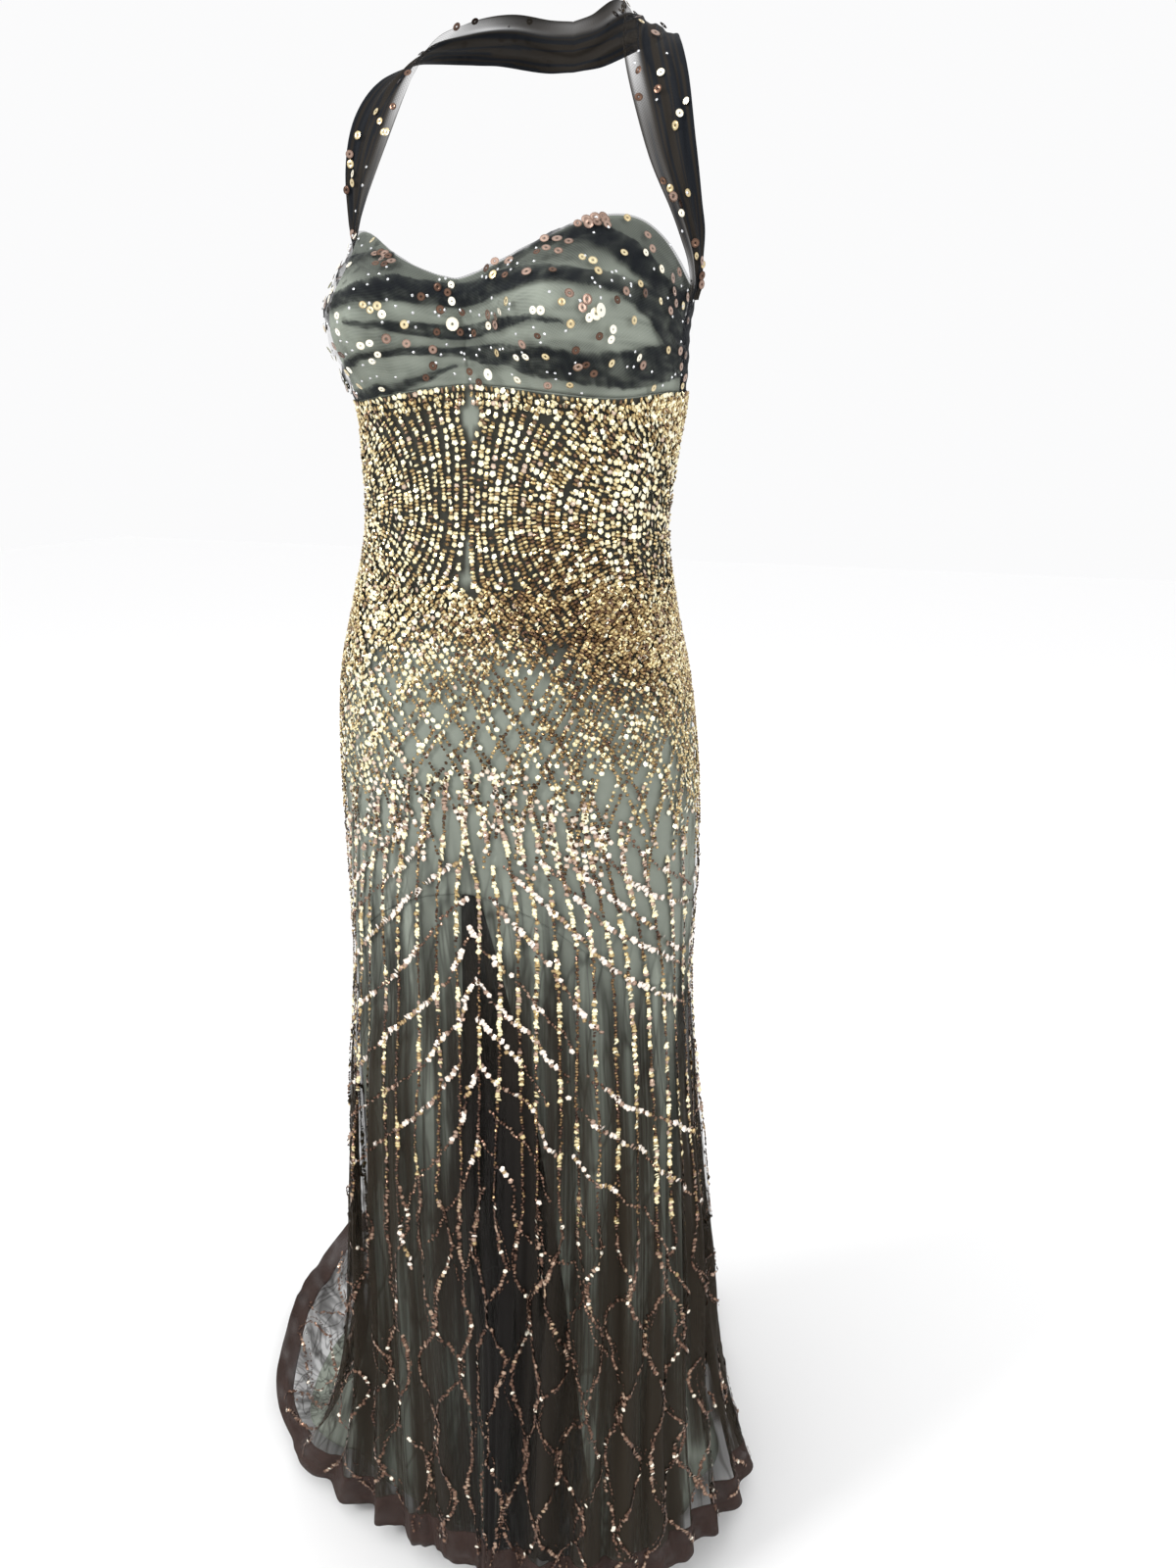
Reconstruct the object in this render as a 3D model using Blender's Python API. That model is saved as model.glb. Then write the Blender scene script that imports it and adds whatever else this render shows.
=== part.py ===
"""Halter evening gown with a sweetheart bust, a beaded net overlay and a train, in its worn form.

Metres, +Z up.  The wearer faces -Y and the wearer's left is +X.  Every shape is first worked out
over a floor, round the upright line through the waist, and is then moved so that the origin is on
the inner face of the halter at the nape of the neck.

Round the body a place is given in degrees: 0 is the wearer's left side, 90 the centre back, 180
the wearer's right side and 270 the centre front.  Down the gown a place is given as a level:
0 is the seam under the bust, 1 the arched thigh seam and 2 the hem.  Over the bust the level
runs the other way, from 0 at the same seam up to 1 at the top edge.
"""
import math

import bpy
import numpy as np

# Driving dimensions.
NAPE_HEIGHT = 1.450        # inner face of the halter above the floor
NAPE_BACK = 0.1300         # the same point behind the line through the waist
WALL = 0.0012              # each layer of cloth
SEAM_GAP = 0.0003          # air between two pieces at a seam or face to face
BEAD_ROOM = 0.0010         # the beads' own height over the net

# The figure's sections: height, half width, how far the front and the back stand from the
# upright line, and how far behind that line the section is widest.
SECTIONS = (
    (1.300, 0.140, 0.070, 0.124, 0.040),
    (1.270, 0.1445, 0.084, 0.124, 0.036),
    (1.245, 0.1450, 0.0945, 0.122, 0.026),
    (1.215, 0.1435, 0.088, 0.119, 0.012),
    (1.190, 0.1425, 0.082, 0.117, 0.014),
    (1.165, 0.1395, 0.078, 0.115, 0.018),
    (1.120, 0.1345, 0.082, 0.110, 0.012),
    (1.058, 0.1305, 0.089, 0.103, 0.004),
    (1.000, 0.140, 0.099, 0.108, -0.006),
    (0.940, 0.1535, 0.106, 0.122, -0.010),
    (0.870, 0.161, 0.108, 0.134, -0.006),
    (0.770, 0.164, 0.107, 0.132, 0.000),
    (0.680, 0.162, 0.108, 0.126, -0.004),
    (0.530, 0.170, 0.112, 0.132, -0.010),
    (0.420, 0.172, 0.114, 0.140, -0.004),
    (0.340, 0.173, 0.116, 0.148, 0.000),
    (0.240, 0.175, 0.118, 0.156, 0.000),
    (0.120, 0.184, 0.121, 0.162, 0.000),
    (0.000, 0.196, 0.124, 0.166, 0.000),
)
FRONT_FULLNESS = 2.6       # the front half's outline as a superellipse, where 2 is an ellipse
BACK_FULLNESS = 2.1

# The two cups: how far they rise from the chest, where, and how wide and tall they are.
CUP_RISE = 0.047
CUP_SPREAD = 0.086
CUP_HEIGHT = 1.214
CUP_WIDE = 0.050
CUP_TALL = 0.044
CUP_SIDE_FADE = 0.6        # the cups fade out where the sine of the angle from the side is less

# Heights of the three lines that run round the body, by degrees from the centre front.
BUST_SEAM = ((0, 1.172), (25, 1.164), (50, 1.161), (75, 1.166), (90, 1.168), (180, 1.166))
TOP_EDGE = (
    (0, 1.246), (14, 1.2640), (30, 1.283), (43, 1.2895), (58, 1.2865), (68, 1.277),
    (79, 1.262), (90, 1.247), (120, 1.228), (150, 1.208), (180, 1.202),
)
THIGH_SEAM = (
    (0, 0.766), (15, 0.752), (30, 0.729), (46, 0.704), (60, 0.690), (90, 0.677), (180, 0.670),
)

# The hem on the floor: degrees, x, y, height, and how late the cloth sweeps out to it.
HEM = (
    (0, 0.196, 0.010, 0.036, 3.0),
    (22, 0.211, 0.098, 0.020, 3.0),
    (45, 0.168, 0.200, 0.018, 3.0),
    (68, 0.105, 0.340, 0.018, 3.0),
    (90, 0.000, 0.500, 0.018, 3.0),
    (110, -0.150, 0.610, 0.018, 3.0),
    (130, -0.310, 0.580, 0.018, 3.2),
    (150, -0.415, 0.430, 0.018, 3.6),
    (168, -0.432, 0.262, 0.018, 4.0),
    (184, -0.408, 0.130, 0.018, 4.0),
    (198, -0.340, 0.000, 0.018, 4.0),
    (212, -0.240, -0.070, 0.018, 4.0),
    (226, -0.165, -0.086, 0.020, 4.0),
    (242, -0.100, -0.105, 0.030, 4.0),
    (270, 0.000, -0.122, 0.040, 3.0),
    (300, 0.090, -0.116, 0.042, 3.0),
    (330, 0.158, -0.074, 0.042, 3.0),
)
TRAIN_LONG = 0.30          # a sweep this long has the full change of pace on its way down
TRAIN_PACE = 1.2           # how much sooner the train comes down to the floor than it runs out
BAND_WIDTH = 0.042         # dark band along the net's edge
FLOOR_TILT = (0.3, 0.8)    # the normal's height where cloth begins to count as lying on the floor
FLOOR_REACH = (0.10, 0.30) # and the heights above the floor over which it does

# Folds: how many round the gown, how deep at the hem, and how unevenly they stand.
NET_FOLDS = 26
NET_FOLD_DEPTH = 0.0085
NET_FLOOR_DEPTH = 0.0045   # the same where the train lies on the floor
FLOUNCE_FOLDS = 14
FLOUNCE_FOLD_DEPTH = 0.0050
FLOUNCE_INSET = 0.0075     # the satin hangs this far inside the net
FLOUNCE_FLOOR_INSET = 0.0012
GODET_FOLDS = 9
GODET_FOLD_DEPTH = 0.0025
FOLD_DRIFT = 0.16
FOLD_EVENNESS = 0.72
NET_SHIFT = 0.4            # where round the gown the two sets of folds begin to drift, in radians
FLOUNCE_SHIFT = 1.3

# Shares of the fall below the arch over which the folds and the satin's inset come in.
NET_FOLDS_IN = (0.0, 0.55)
SATIN_INSET_IN = (0.0, 0.22)
FLOUNCE_FOLDS_IN = (0.05, 0.60)
GODET_FOLDS_IN = (0.0, 0.40)
FLOUNCE_FLOOR_FOLDS = 0.25 # the satin's folds on the floor, as a share of their depth
GODET_CLEAR = (1.0, 12.0)  # degrees from the godet over which the satin's folds come in

# Satin under the net stops short of it: by degrees, the share of the fall where its hem lies.
FRONT_END = 0.970
FLOUNCE_END = (
    (0, 0.955), (45, 0.90), (90, 0.86), (130, 0.84), (168, 0.86), (200, 0.90), (240, FRONT_END),
    (262, FRONT_END), (290, FRONT_END), (318, FRONT_END), (335, FRONT_END),
)
# Edges of the net godet in the satin at the front: level below the arch, right edge and left edge.
GODET = (
    (0.00, 269.0, 271.2), (0.25, 267.5, 283.0), (0.50, 268.0, 294.0), (0.75, 272.0, 304.0),
    (1.00, 276.0, 312.0),
)

# Rows over the cups, from the seam up: level at the right side, the centre front and the left
# side, and how far the ruched net is raised there.  Raised rows are the crests of its folds.
BUST_ROWS = (
    (0.00, 0.00, 0.00, 0.0),
    (0.09, 0.16, 0.12, 0.0018),
    (0.18, 0.24, 0.23, 0.0),
    (0.27, 0.33, 0.35, 0.0016),
    (0.36, 0.45, 0.48, 0.0),
    (0.46, 0.57, 0.60, 0.0016),
    (0.55, 0.70, 0.71, 0.0),
    (0.64, 0.83, 0.82, 0.0020),
    (0.80, 0.93, 0.92, 0.0),
    (1.00, 1.00, 1.00, 0.0),
)

# The left strap's middle: x, y, height, width, and its face's plan angle and rise in degrees.
STRAP = (
    (0.1491, 0.0160, 1.2350, 0.019, -4, 0),
    (0.1503, 0.0138, 1.2500, 0.021, -8, 0),
    (0.1501, 0.0080, 1.2710, 0.024, -20, 2),
    (0.1440, 0.0000, 1.3020, 0.028, -50, 6),
    (0.1340, -0.0030, 1.3380, 0.036, -76, 12),
    (0.1225, 0.0045, 1.3780, 0.043, -86, 26),
    (0.1090, 0.0220, 1.4120, 0.044, -72, 48),
    (0.0960, 0.0520, 1.4370, 0.043, -20, 64),
    (0.0760, 0.0860, 1.4500, 0.042, 32, 54),
    (0.0500, 0.1130, 1.4550, 0.041, 62, 32),
    (0.0240, 0.1270, 1.4520, 0.039, 82, 10),
    (0.0000, 0.1306, 1.4500, 0.038, 90, 0),
)
STRAP_FOLDS = 3            # pleats along each strap
STRAP_FOLD_DEPTH = 0.0011
STRAP_STATIONS = 24
STRAP_POINTS = 7
ZIP_WIDTH = 0.009
ZIP_LEVELS = 0.62          # the zip runs this far down towards the thigh seam

# Grid: columns in the front half and in each back quarter, above and below the thigh seam.
UPPER_FRONT = 26
UPPER_BACK = 13
LOWER_FRONT = 52
LOWER_BACK = 26
UPPER_LEVELS = (0.0, 0.11, 0.23, 0.35, 0.48, 0.64, 0.82, 1.0)
LOWER_LEVELS = (0.09, 0.21, 0.35, 0.50, 0.64, 0.76, 0.86, 0.94, 1.0)
FLOUNCE_LEVELS = (0.10, 0.25, 0.42, 0.58, 0.72, 0.84, 0.93, 1.0)
BACK_LEVELS = (0.0, 0.34, 0.67, 1.0)

# Steps for slopes, in degrees round the body and in levels along it: for the normals, for the
# seams and for the hem band.
SMALL_TURN = 1.0
SMALL_LEVEL = 0.004
SEAM_TURN = 0.1
SEAM_LEVEL = 0.01
BAND_LEVEL = 0.03
SHARP_EDGE = 50            # degrees between faces above which an edge is drawn sharp

# Colours as red, green and blue, with roughness and metallic value.
SATIN = ((0.27, 0.30, 0.25), 0.38, 0.0)
NET_GOLD = ((0.30, 0.22, 0.12), 0.45, 0.25)
NET_DARK = ((0.022, 0.022, 0.024), 0.75, 0.0)
BAND_BROWN = ((0.050, 0.033, 0.024), 0.70, 0.0)
ZIP_DARK = ((0.030, 0.028, 0.026), 0.50, 0.0)


def smooth(keys, values, at):
    """A cubic through the keyed values, with slopes taken from the neighbours on each side."""
    keys = np.asarray(keys, float)
    values = np.asarray(values, float)
    at = np.clip(np.asarray(at, float), keys[0], keys[-1])
    step = np.diff(keys)
    slope = np.diff(values) / step
    tangent = np.empty_like(values)
    tangent[0] = slope[0]
    tangent[-1] = slope[-1]
    tangent[1:-1] = (slope[:-1] * step[1:] + slope[1:] * step[:-1]) / (step[:-1] + step[1:])
    i = np.clip(np.searchsorted(keys, at, side="right") - 1, 0, len(keys) - 2)
    t = (at - keys[i]) / step[i]
    start = (1 + 2 * t) * (1 - t) ** 2 * values[i] + t * (1 - t) ** 2 * step[i] * tangent[i]
    end = t * t * (3 - 2 * t) * values[i + 1] + t * t * (t - 1) * step[i] * tangent[i + 1]
    return start + end


def column(table, index, at):
    """One column of a table, smoothed along the table's first column."""
    rows = sorted(table)
    return smooth([row[0] for row in rows], [row[index] for row in rows], at)


def column_round(table, index, degrees):
    """The same round the whole circle."""
    rows = sorted(table)
    keys = [row[0] for row in rows]
    values = [row[index] for row in rows]
    keys = [k - 360 for k in keys[-3:]] + keys + [k + 360 for k in keys[:3]]
    values = values[-3:] + values + values[:3]
    return smooth(keys, values, np.mod(degrees, 360.0))


def from_front(degrees):
    """Degrees from the centre front, the same on both sides."""
    return np.abs(np.mod(np.asarray(degrees, float) - 90.0, 360.0) - 180.0)


def ease(value, low, high):
    """From 0 at low to 1 at high, level at both ends."""
    t = np.clip((value - low) / (high - low), 0.0, 1.0)
    return t * t * (3 - 2 * t)


def torso(degrees, height):
    """A point on the figure: a superellipse's half in front, one behind, and the two cups."""
    angle = np.radians(degrees)
    front = np.sin(angle) < 0
    power = 2.0 / np.where(front, FRONT_FULLNESS, BACK_FULLNESS)
    middle = column(SECTIONS, 4, height)
    depth = np.where(
        front, column(SECTIONS, 2, height) + middle, column(SECTIONS, 3, height) - middle
    )
    x = column(SECTIONS, 1, height) * np.sign(np.cos(angle)) * np.abs(np.cos(angle)) ** power
    y = middle + depth * np.sign(np.sin(angle)) * np.abs(np.sin(angle)) ** power
    across = (np.abs(x) - CUP_SPREAD) / CUP_WIDE
    along = (height - CUP_HEIGHT) / CUP_TALL
    cup = CUP_RISE * np.exp(-across ** 2 - along ** 2) * ease(-np.sin(angle), 0.0, CUP_SIDE_FADE)
    return np.stack([x, y - cup, height + 0 * x], axis=-1)


def bust(degrees, level):
    """The bodice above the seam, from level 0 at the seam to 1 at the top edge."""
    low = column(BUST_SEAM, 1, from_front(degrees))
    high = column(TOP_EDGE, 1, from_front(degrees))
    return torso(degrees, low + (high - low) * level)


def skirt(degrees, level):
    """The gown below the bust: the figure to the thigh seam, then a fall that sweeps to the hem.

    Below the arch the height falls as a power of what is left of the way, and the sideways
    sweep to the hem grows as a power of the way done, so a train drops first and then runs
    out along the floor.
    """
    level = np.asarray(level, float) + 0 * np.asarray(degrees, float)
    high = column(BUST_SEAM, 1, from_front(degrees))
    arch = column(THIGH_SEAM, 1, from_front(degrees))
    upper = torso(degrees, high + (arch - high) * np.clip(level, 0.0, 1.0))
    fall = np.clip(level - 1.0, 0.0, 1.0)
    hem = np.stack([column_round(HEM, i, degrees) for i in (1, 2, 3)], axis=-1)
    foot = torso(degrees, hem[..., 2])
    run = np.linalg.norm((hem - foot)[..., :2], axis=-1)
    pace = 1.0 + TRAIN_PACE * ease(run, 0.0, TRAIN_LONG)
    height = hem[..., 2] + (arch - hem[..., 2]) * (1.0 - fall) ** pace
    sweep = fall ** column_round(HEM, 4, degrees)
    lower = torso(degrees, height)
    lower[..., :2] += (hem - foot)[..., :2] * sweep[..., None]
    return np.where((level > 1.0)[..., None], lower, upper)


def outward(surface, degrees, level):
    """The outward unit normal of a surface, from small steps round and along it.

    Levels run up over the bust and down the skirt, so the bust's normals are turned round.
    """
    level = np.clip(level, 3 * SMALL_LEVEL, 2.0 - 3 * SMALL_LEVEL)
    after = surface(degrees + SMALL_TURN, level)
    below = surface(degrees, level + SMALL_LEVEL)
    round_step = after - surface(degrees - SMALL_TURN, level)
    along_step = below - surface(degrees, level - SMALL_LEVEL)
    normal = np.cross(along_step, round_step)
    if surface in (bust, cup_middle, bodice_middle):
        normal = -normal
    return normal / np.linalg.norm(normal, axis=-1, keepdims=True)


def wave(degrees, folds, shift):
    """Uneven folds round the gown, from -1 to 1: a cosine whose spacing and height drift."""
    turn = np.radians(degrees)
    phase = folds * turn + 2 * math.pi * FOLD_DRIFT * np.sin(3 * turn + shift)
    height = FOLD_EVENNESS + (1 - FOLD_EVENNESS) * np.sin(5 * turn + 2 * shift)
    return np.cos(phase) * height


def on_floor(degrees, level):
    """How far a place lies out on the train, from 0 on the upright skirt to 1 on the floor."""
    height = skirt(degrees, level)[..., 2]
    normal = outward(skirt, degrees, level)
    return ease(normal[..., 2], *FLOOR_TILT) * (1.0 - ease(height, *FLOOR_REACH))


def net_middle(degrees, level):
    """The middle of the net's wall: close to the body down to the thighs, then in folds."""
    fall = np.clip(level - 1.0, 0.0, 1.0)
    flat = on_floor(degrees, level)
    deep = ease(fall, *NET_FOLDS_IN) * (NET_FOLD_DEPTH * (1 - flat) + NET_FLOOR_DEPTH * flat)
    out = deep * (1 + wave(degrees, NET_FOLDS, NET_SHIFT)) - BEAD_ROOM - WALL / 2
    return skirt(degrees, level) + outward(skirt, degrees, level) * out[..., None]


def satin_inset(degrees, level):
    """How far the satin's middle lies inside the figure's surface without its folds."""
    fall = np.clip(level - 1.0, 0.0, 1.0)
    flat = on_floor(degrees, level)
    inset = FLOUNCE_INSET * (1 - flat) + FLOUNCE_FLOOR_INSET * flat
    return BEAD_ROOM + WALL + SEAM_GAP + WALL / 2 + ease(fall, *SATIN_INSET_IN) * inset


def flounce_middle(degrees, level):
    """The satin below the thigh seam, in wider and shallower folds that die out at the godet."""
    fall = np.clip(level - 1.0, 0.0, 1.0)
    flat = on_floor(degrees, level)
    share = godet_share(degrees, level)
    away = np.maximum(-share, share - 1.0) * (column(GODET, 2, fall) - column(GODET, 1, fall))
    deep = FLOUNCE_FOLD_DEPTH * (1 - (1 - FLOUNCE_FLOOR_FOLDS) * flat)
    deep *= ease(fall, *FLOUNCE_FOLDS_IN) * ease(away, *GODET_CLEAR)
    inset = satin_inset(degrees, level) + deep * (1 - wave(degrees, FLOUNCE_FOLDS, FLOUNCE_SHIFT))
    return skirt(degrees, level) - outward(skirt, degrees, level) * inset[..., None]


def godet_middle(degrees, level):
    """The net godet in the satin's front, in close gathers."""
    fall = np.clip(level - 1.0, 0.0, 1.0)
    share = godet_share(degrees, level)
    ripple = 0.5 - 0.5 * np.cos(2 * math.pi * GODET_FOLDS * share)
    inset = satin_inset(degrees, level) + ease(fall, *GODET_FOLDS_IN) * GODET_FOLD_DEPTH * ripple
    return skirt(degrees, level) - outward(skirt, degrees, level) * inset[..., None]


def godet_share(degrees, level):
    """How far across the godet a place is, from 0 at its right edge to 1 at its left edge."""
    fall = np.clip(level - 1.0, 0.0, 1.0)
    right = column(GODET, 1, fall)
    left = column(GODET, 2, fall)
    return (np.mod(degrees, 360.0) - right) / (left - right)


def lining_middle(degrees, level):
    """The satin that lies under the net from the bust seam to the thighs."""
    inset = satin_inset(degrees, level)
    return skirt(degrees, level) - outward(skirt, degrees, level) * inset[..., None]


def cup_middle(degrees, level):
    """The satin cups under the draped net."""
    inset = BEAD_ROOM + WALL + SEAM_GAP + WALL / 2
    return bust(degrees, level) - outward(bust, degrees, level) * inset


def bodice_middle(degrees, level):
    """The plain back of the bodice and the flat net under the folds."""
    inset = BEAD_ROOM + WALL / 2
    return bust(degrees, level) - outward(bust, degrees, level) * inset


def wall_rows(middle, degrees, levels, raised):
    """Outer and inner points of a wall, row by row, with its two ends drawn in by half a gap.

    The wall's thickness stands across the middle surface's own normal, which comes from small
    steps on that surface, and raised adds a height for each row to the outer points alone.
    """
    outer = []
    inner = []
    for around, level, extra in zip(degrees, levels, raised):
        points = middle(around, level)
        normal = outward(middle, around, level)
        for end, inside in ((0, 1), (-1, -2)):
            along = points[inside] - points[end]
            points[end] += along / np.linalg.norm(along) * SEAM_GAP / 2
        outer.append(points + normal * (WALL / 2 + extra))
        inner.append(points - normal * WALL / 2)
    return outer, inner


def stitch(first, second, shares_first, shares_second):
    """Triangles between two rows of points, which may have different counts."""
    i = 0
    j = 0
    faces = []
    while i < len(first) - 1 or j < len(second) - 1:
        step_first = shares_first[i + 1] if i < len(first) - 1 else math.inf
        step_second = shares_second[j + 1] if j < len(second) - 1 else math.inf
        if step_first <= step_second:
            faces.append((first[i], second[j], first[i + 1]))
            i += 1
        else:
            faces.append((first[i], second[j], second[j + 1]))
            j += 1
    return faces


def add_wall(name, outer, inner, finish):
    """A closed wall from rows of outer and inner points, as one object."""
    shares = [np.linspace(0.0, 1.0, len(row)) for row in outer]
    points = []
    outer_at = []
    inner_at = []
    for rows, at in ((outer, outer_at), (inner, inner_at)):
        for row in rows:
            at.append(list(range(len(points), len(points) + len(row))))
            points.extend(row.tolist())
    faces = []
    for k in range(len(outer) - 1):
        faces += stitch(outer_at[k], outer_at[k + 1], shares[k], shares[k + 1])
        back = stitch(inner_at[k], inner_at[k + 1], shares[k], shares[k + 1])
        faces += [face[::-1] for face in back]
        for end, flip in ((0, False), (-1, True)):
            side = (outer_at[k][end], inner_at[k][end], inner_at[k + 1][end], outer_at[k + 1][end])
            faces += split(side, flip)
    for k, flip in ((0, False), (-1, True)):
        for i in range(len(outer_at[k]) - 1):
            rim = (outer_at[k][i], outer_at[k][i + 1], inner_at[k][i + 1], inner_at[k][i])
            faces += split(rim, flip)
    return add_solid(name, np.array(points), faces, finish)


def split(four, flip):
    """Two triangles from four corners, cut along the same diagonal whichever way they face."""
    pair = [(four[0], four[1], four[2]), (four[0], four[2], four[3])]
    return [face[::-1] for face in pair] if flip else pair


def add_solid(name, points, faces, finish):
    """An object from points over the floor and triangles, turned outwards if they face in."""
    placed = points - np.array([0.0, NAPE_BACK, NAPE_HEIGHT])
    corner = placed[np.array(faces)]
    volume = np.einsum("ij,ij->i", corner[:, 0], np.cross(corner[:, 1], corner[:, 2])).sum()
    if volume < 0:
        faces = [face[::-1] for face in faces]
    mesh = bpy.data.meshes.new(name)
    mesh.from_pydata(placed.tolist(), [], faces)
    mesh.shade_smooth()
    mesh.set_sharp_from_angle(angle=math.radians(SHARP_EDGE))
    mesh.materials.append(material(name, *finish))
    solid = bpy.data.objects.new(name, mesh)
    bpy.context.scene.collection.objects.link(solid)
    return solid


def material(name, colour, roughness, metallic):
    """A Principled material of its own for one piece."""
    new = bpy.data.materials.new(name)
    new.use_nodes = True
    shader = new.node_tree.nodes["Principled BSDF"]
    shader.inputs["Base Color"].default_value = (*colour, 1.0)
    shader.inputs["Roughness"].default_value = roughness
    shader.inputs["Metallic"].default_value = metallic
    return new


def panel(name, middle, degrees, levels, finish, raised=None):
    """A wall over rows of places, each row its own list of degrees and its levels."""
    outer, inner = wall_rows(middle, degrees, levels, raised or [0.0] * len(levels))
    return add_wall(name, outer, inner, finish)


def band_start(degrees):
    """The level where the hem band begins, so that it is as wide all round."""
    length = np.linalg.norm(skirt(degrees, 2.0) - skirt(degrees, 2.0 - BAND_LEVEL), axis=-1)
    return 2.0 - BAND_WIDTH * BAND_LEVEL / length


def add_net(name, band_name, start, end, upper, lower):
    """One net panel from the bust seam to its hem band, and the band below it."""
    high = np.linspace(start, end, upper + 1)
    low = np.linspace(start, end, lower + 1)
    begin = band_start(low)
    degrees = [high for _ in UPPER_LEVELS]
    levels = [level + 0 * high for level in UPPER_LEVELS]
    for share in LOWER_LEVELS:
        degrees.append(low)
        levels.append(1.0 + (begin - 1.0) * share)
    outer, inner = wall_rows(net_middle, degrees, levels, [0.0] * len(levels))
    add_wall(name, outer, inner, NET_GOLD)
    apart = square_down(skirt, low, begin)
    apart *= SEAM_GAP / np.linalg.norm(apart, axis=-1, keepdims=True)
    hem_outer, hem_inner = wall_rows(net_middle, [low], [2.0 + 0 * low], [0.0])
    band_outer = [outer[-1] + apart, hem_outer[0]]
    band_inner = [inner[-1] + apart, hem_inner[0]]
    add_wall(band_name, band_outer, band_inner, BAND_BROWN)


def add_lining(name, start, end, upper):
    """One satin panel from the bust seam to the thigh seam."""
    high = np.linspace(start, end, upper + 1)
    levels = [level + 0 * high for level in UPPER_LEVELS]
    levels[-1] = 1.0 - seam_step(high)
    panel(name, lining_middle, [high for _ in levels], levels, SATIN)


def seam_step(degrees):
    """Half a seam's gap as a step in level, measured from the chords of the lining's lower edge."""
    wide = 90.0 / UPPER_BACK
    before = np.floor(degrees / wide + 1e-6) * wide
    point = skirt(degrees, 1.0)
    first = skirt(before, 1.0)
    chord = skirt(before + wide, 1.0) - first
    share = np.sum((point - first)[:, :2] * chord[:, :2], -1) / np.sum(chord[:, :2] ** 2, -1)
    bow = point[:, 2] - first[:, 2] - share * chord[:, 2]
    return level_step(skirt, degrees, 1.0, SEAM_GAP / 2) + bow * level_step(skirt, degrees, 1.0, 1.0)


def square_down(surface, degrees, level):
    """The way down a surface for each unit of level, square to the row that runs round it."""
    down = (surface(degrees, level + SEAM_LEVEL) - surface(degrees, level)) / SEAM_LEVEL
    along = surface(degrees + SEAM_TURN, level) - surface(degrees - SEAM_TURN, level)
    along /= np.linalg.norm(along, axis=-1, keepdims=True)
    return down - np.sum(down * along, axis=-1, keepdims=True) * along


def level_step(surface, degrees, level, distance):
    """The step in level that moves a row down by a distance square to its own run."""
    return distance / np.linalg.norm(square_down(surface, degrees, level), axis=-1)


def add_flounce(name, middle, start, end, columns, finish):
    """One panel below the thigh seam, between two edges that may lean as they fall.

    Its top row has the lining's own columns, so that the two edges stay parallel.
    """
    degrees = []
    levels = []
    for share in (0.0,) + FLOUNCE_LEVELS:
        first = edge_degrees(start, share * FRONT_END)
        last = edge_degrees(end, share * FRONT_END)
        around = np.linspace(first, last, columns + 1)
        if share == 0.0:
            shared = np.linspace(0.0, 360.0, 4 * UPPER_BACK + 1)
            inside = (shared > first + SMALL_TURN / 10) & (shared < last - SMALL_TURN / 10)
            around = np.concatenate([[first], shared[inside], [last]])
        stop = column_round(FLOUNCE_END, 1, around)
        degrees.append(around)
        levels.append(1.0 + seam_step(around) + (stop - seam_step(around)) * share)
    panel(name, middle, degrees, levels, finish)


def edge_degrees(edge, fall):
    """Degrees of a panel's edge: a plain number, or the godet's right or left edge by the fall."""
    if edge == "godet right":
        return float(column(GODET, 1, fall))
    if edge == "godet left":
        return float(column(GODET, 2, fall))
    return edge


def strap_line(station):
    """The strap's middle, width, face and run at places from 0 at the bust to 1 at the nape."""
    keys = np.linspace(0.0, 1.0, len(STRAP))
    values = [smooth(keys, [row[i] for row in STRAP], station) for i in range(6)]
    middle = np.stack(values[:3], axis=-1)
    plan = np.radians(values[4])
    rise = np.radians(values[5])
    face = np.stack([np.cos(plan) * np.cos(rise), np.sin(plan) * np.cos(rise), np.sin(rise)], -1)
    run = np.gradient(middle, axis=0)
    run[-1] = (-1.0, 0.0, 0.0)
    run /= np.linalg.norm(run, axis=-1, keepdims=True)
    across = np.cross(run, face)
    across /= np.linalg.norm(across, axis=-1, keepdims=True)
    return middle, values[3], np.cross(across, run), across


def add_strap(name, side):
    """A strap pleated along its length, from the top of the side to the nape."""
    station = np.linspace(0.0, 1.0, STRAP_STATIONS)
    middle, width, face, across = strap_line(station)
    middle[-1, 0] = SEAM_GAP / 2
    place = np.linspace(-0.5, 0.5, STRAP_POINTS)
    pleat = STRAP_FOLD_DEPTH * np.cos(2 * math.pi * STRAP_FOLDS * (place + 0.5))
    outer = []
    inner = []
    for k in range(STRAP_STATIONS):
        flat = middle[k] + across[k] * (place * width[k])[:, None]
        lift = pleat[:, None] - STRAP_FOLD_DEPTH
        outer.append((flat + face[k] * (lift + WALL)) * (side, 1, 1))
        inner.append((flat + face[k] * lift) * (side, 1, 1))
    return add_wall(name, outer, inner, NET_DARK)


def add_bust():
    """The satin cups, the net draped over them and the plain back of the bodice."""
    for name, start, end in (("cup_right", 180.0, 270.0), ("cup_left", 270.0, 360.0)):
        around = np.linspace(start, end, UPPER_BACK + 1)
        panel(name, cup_middle, *bust_grid(around, cup_levels(around)), SATIN)
    around = np.linspace(180.0, 360.0, UPPER_FRONT + 1)
    grid = bust_grid(around, cup_levels(around))
    crests = [row[3] for row in BUST_ROWS]
    panel("bust_drape", bodice_middle, *grid, NET_DARK, crests)
    for name, start, end in (("bodice_back_left", 0.0, 90.0), ("bodice_back_right", 90.0, 180.0)):
        around = np.linspace(start, end, UPPER_BACK + 1)
        levels = [level + 0 * around for level in BACK_LEVELS]
        panel(name, bodice_middle, *bust_grid(around, levels), NET_DARK)


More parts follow.
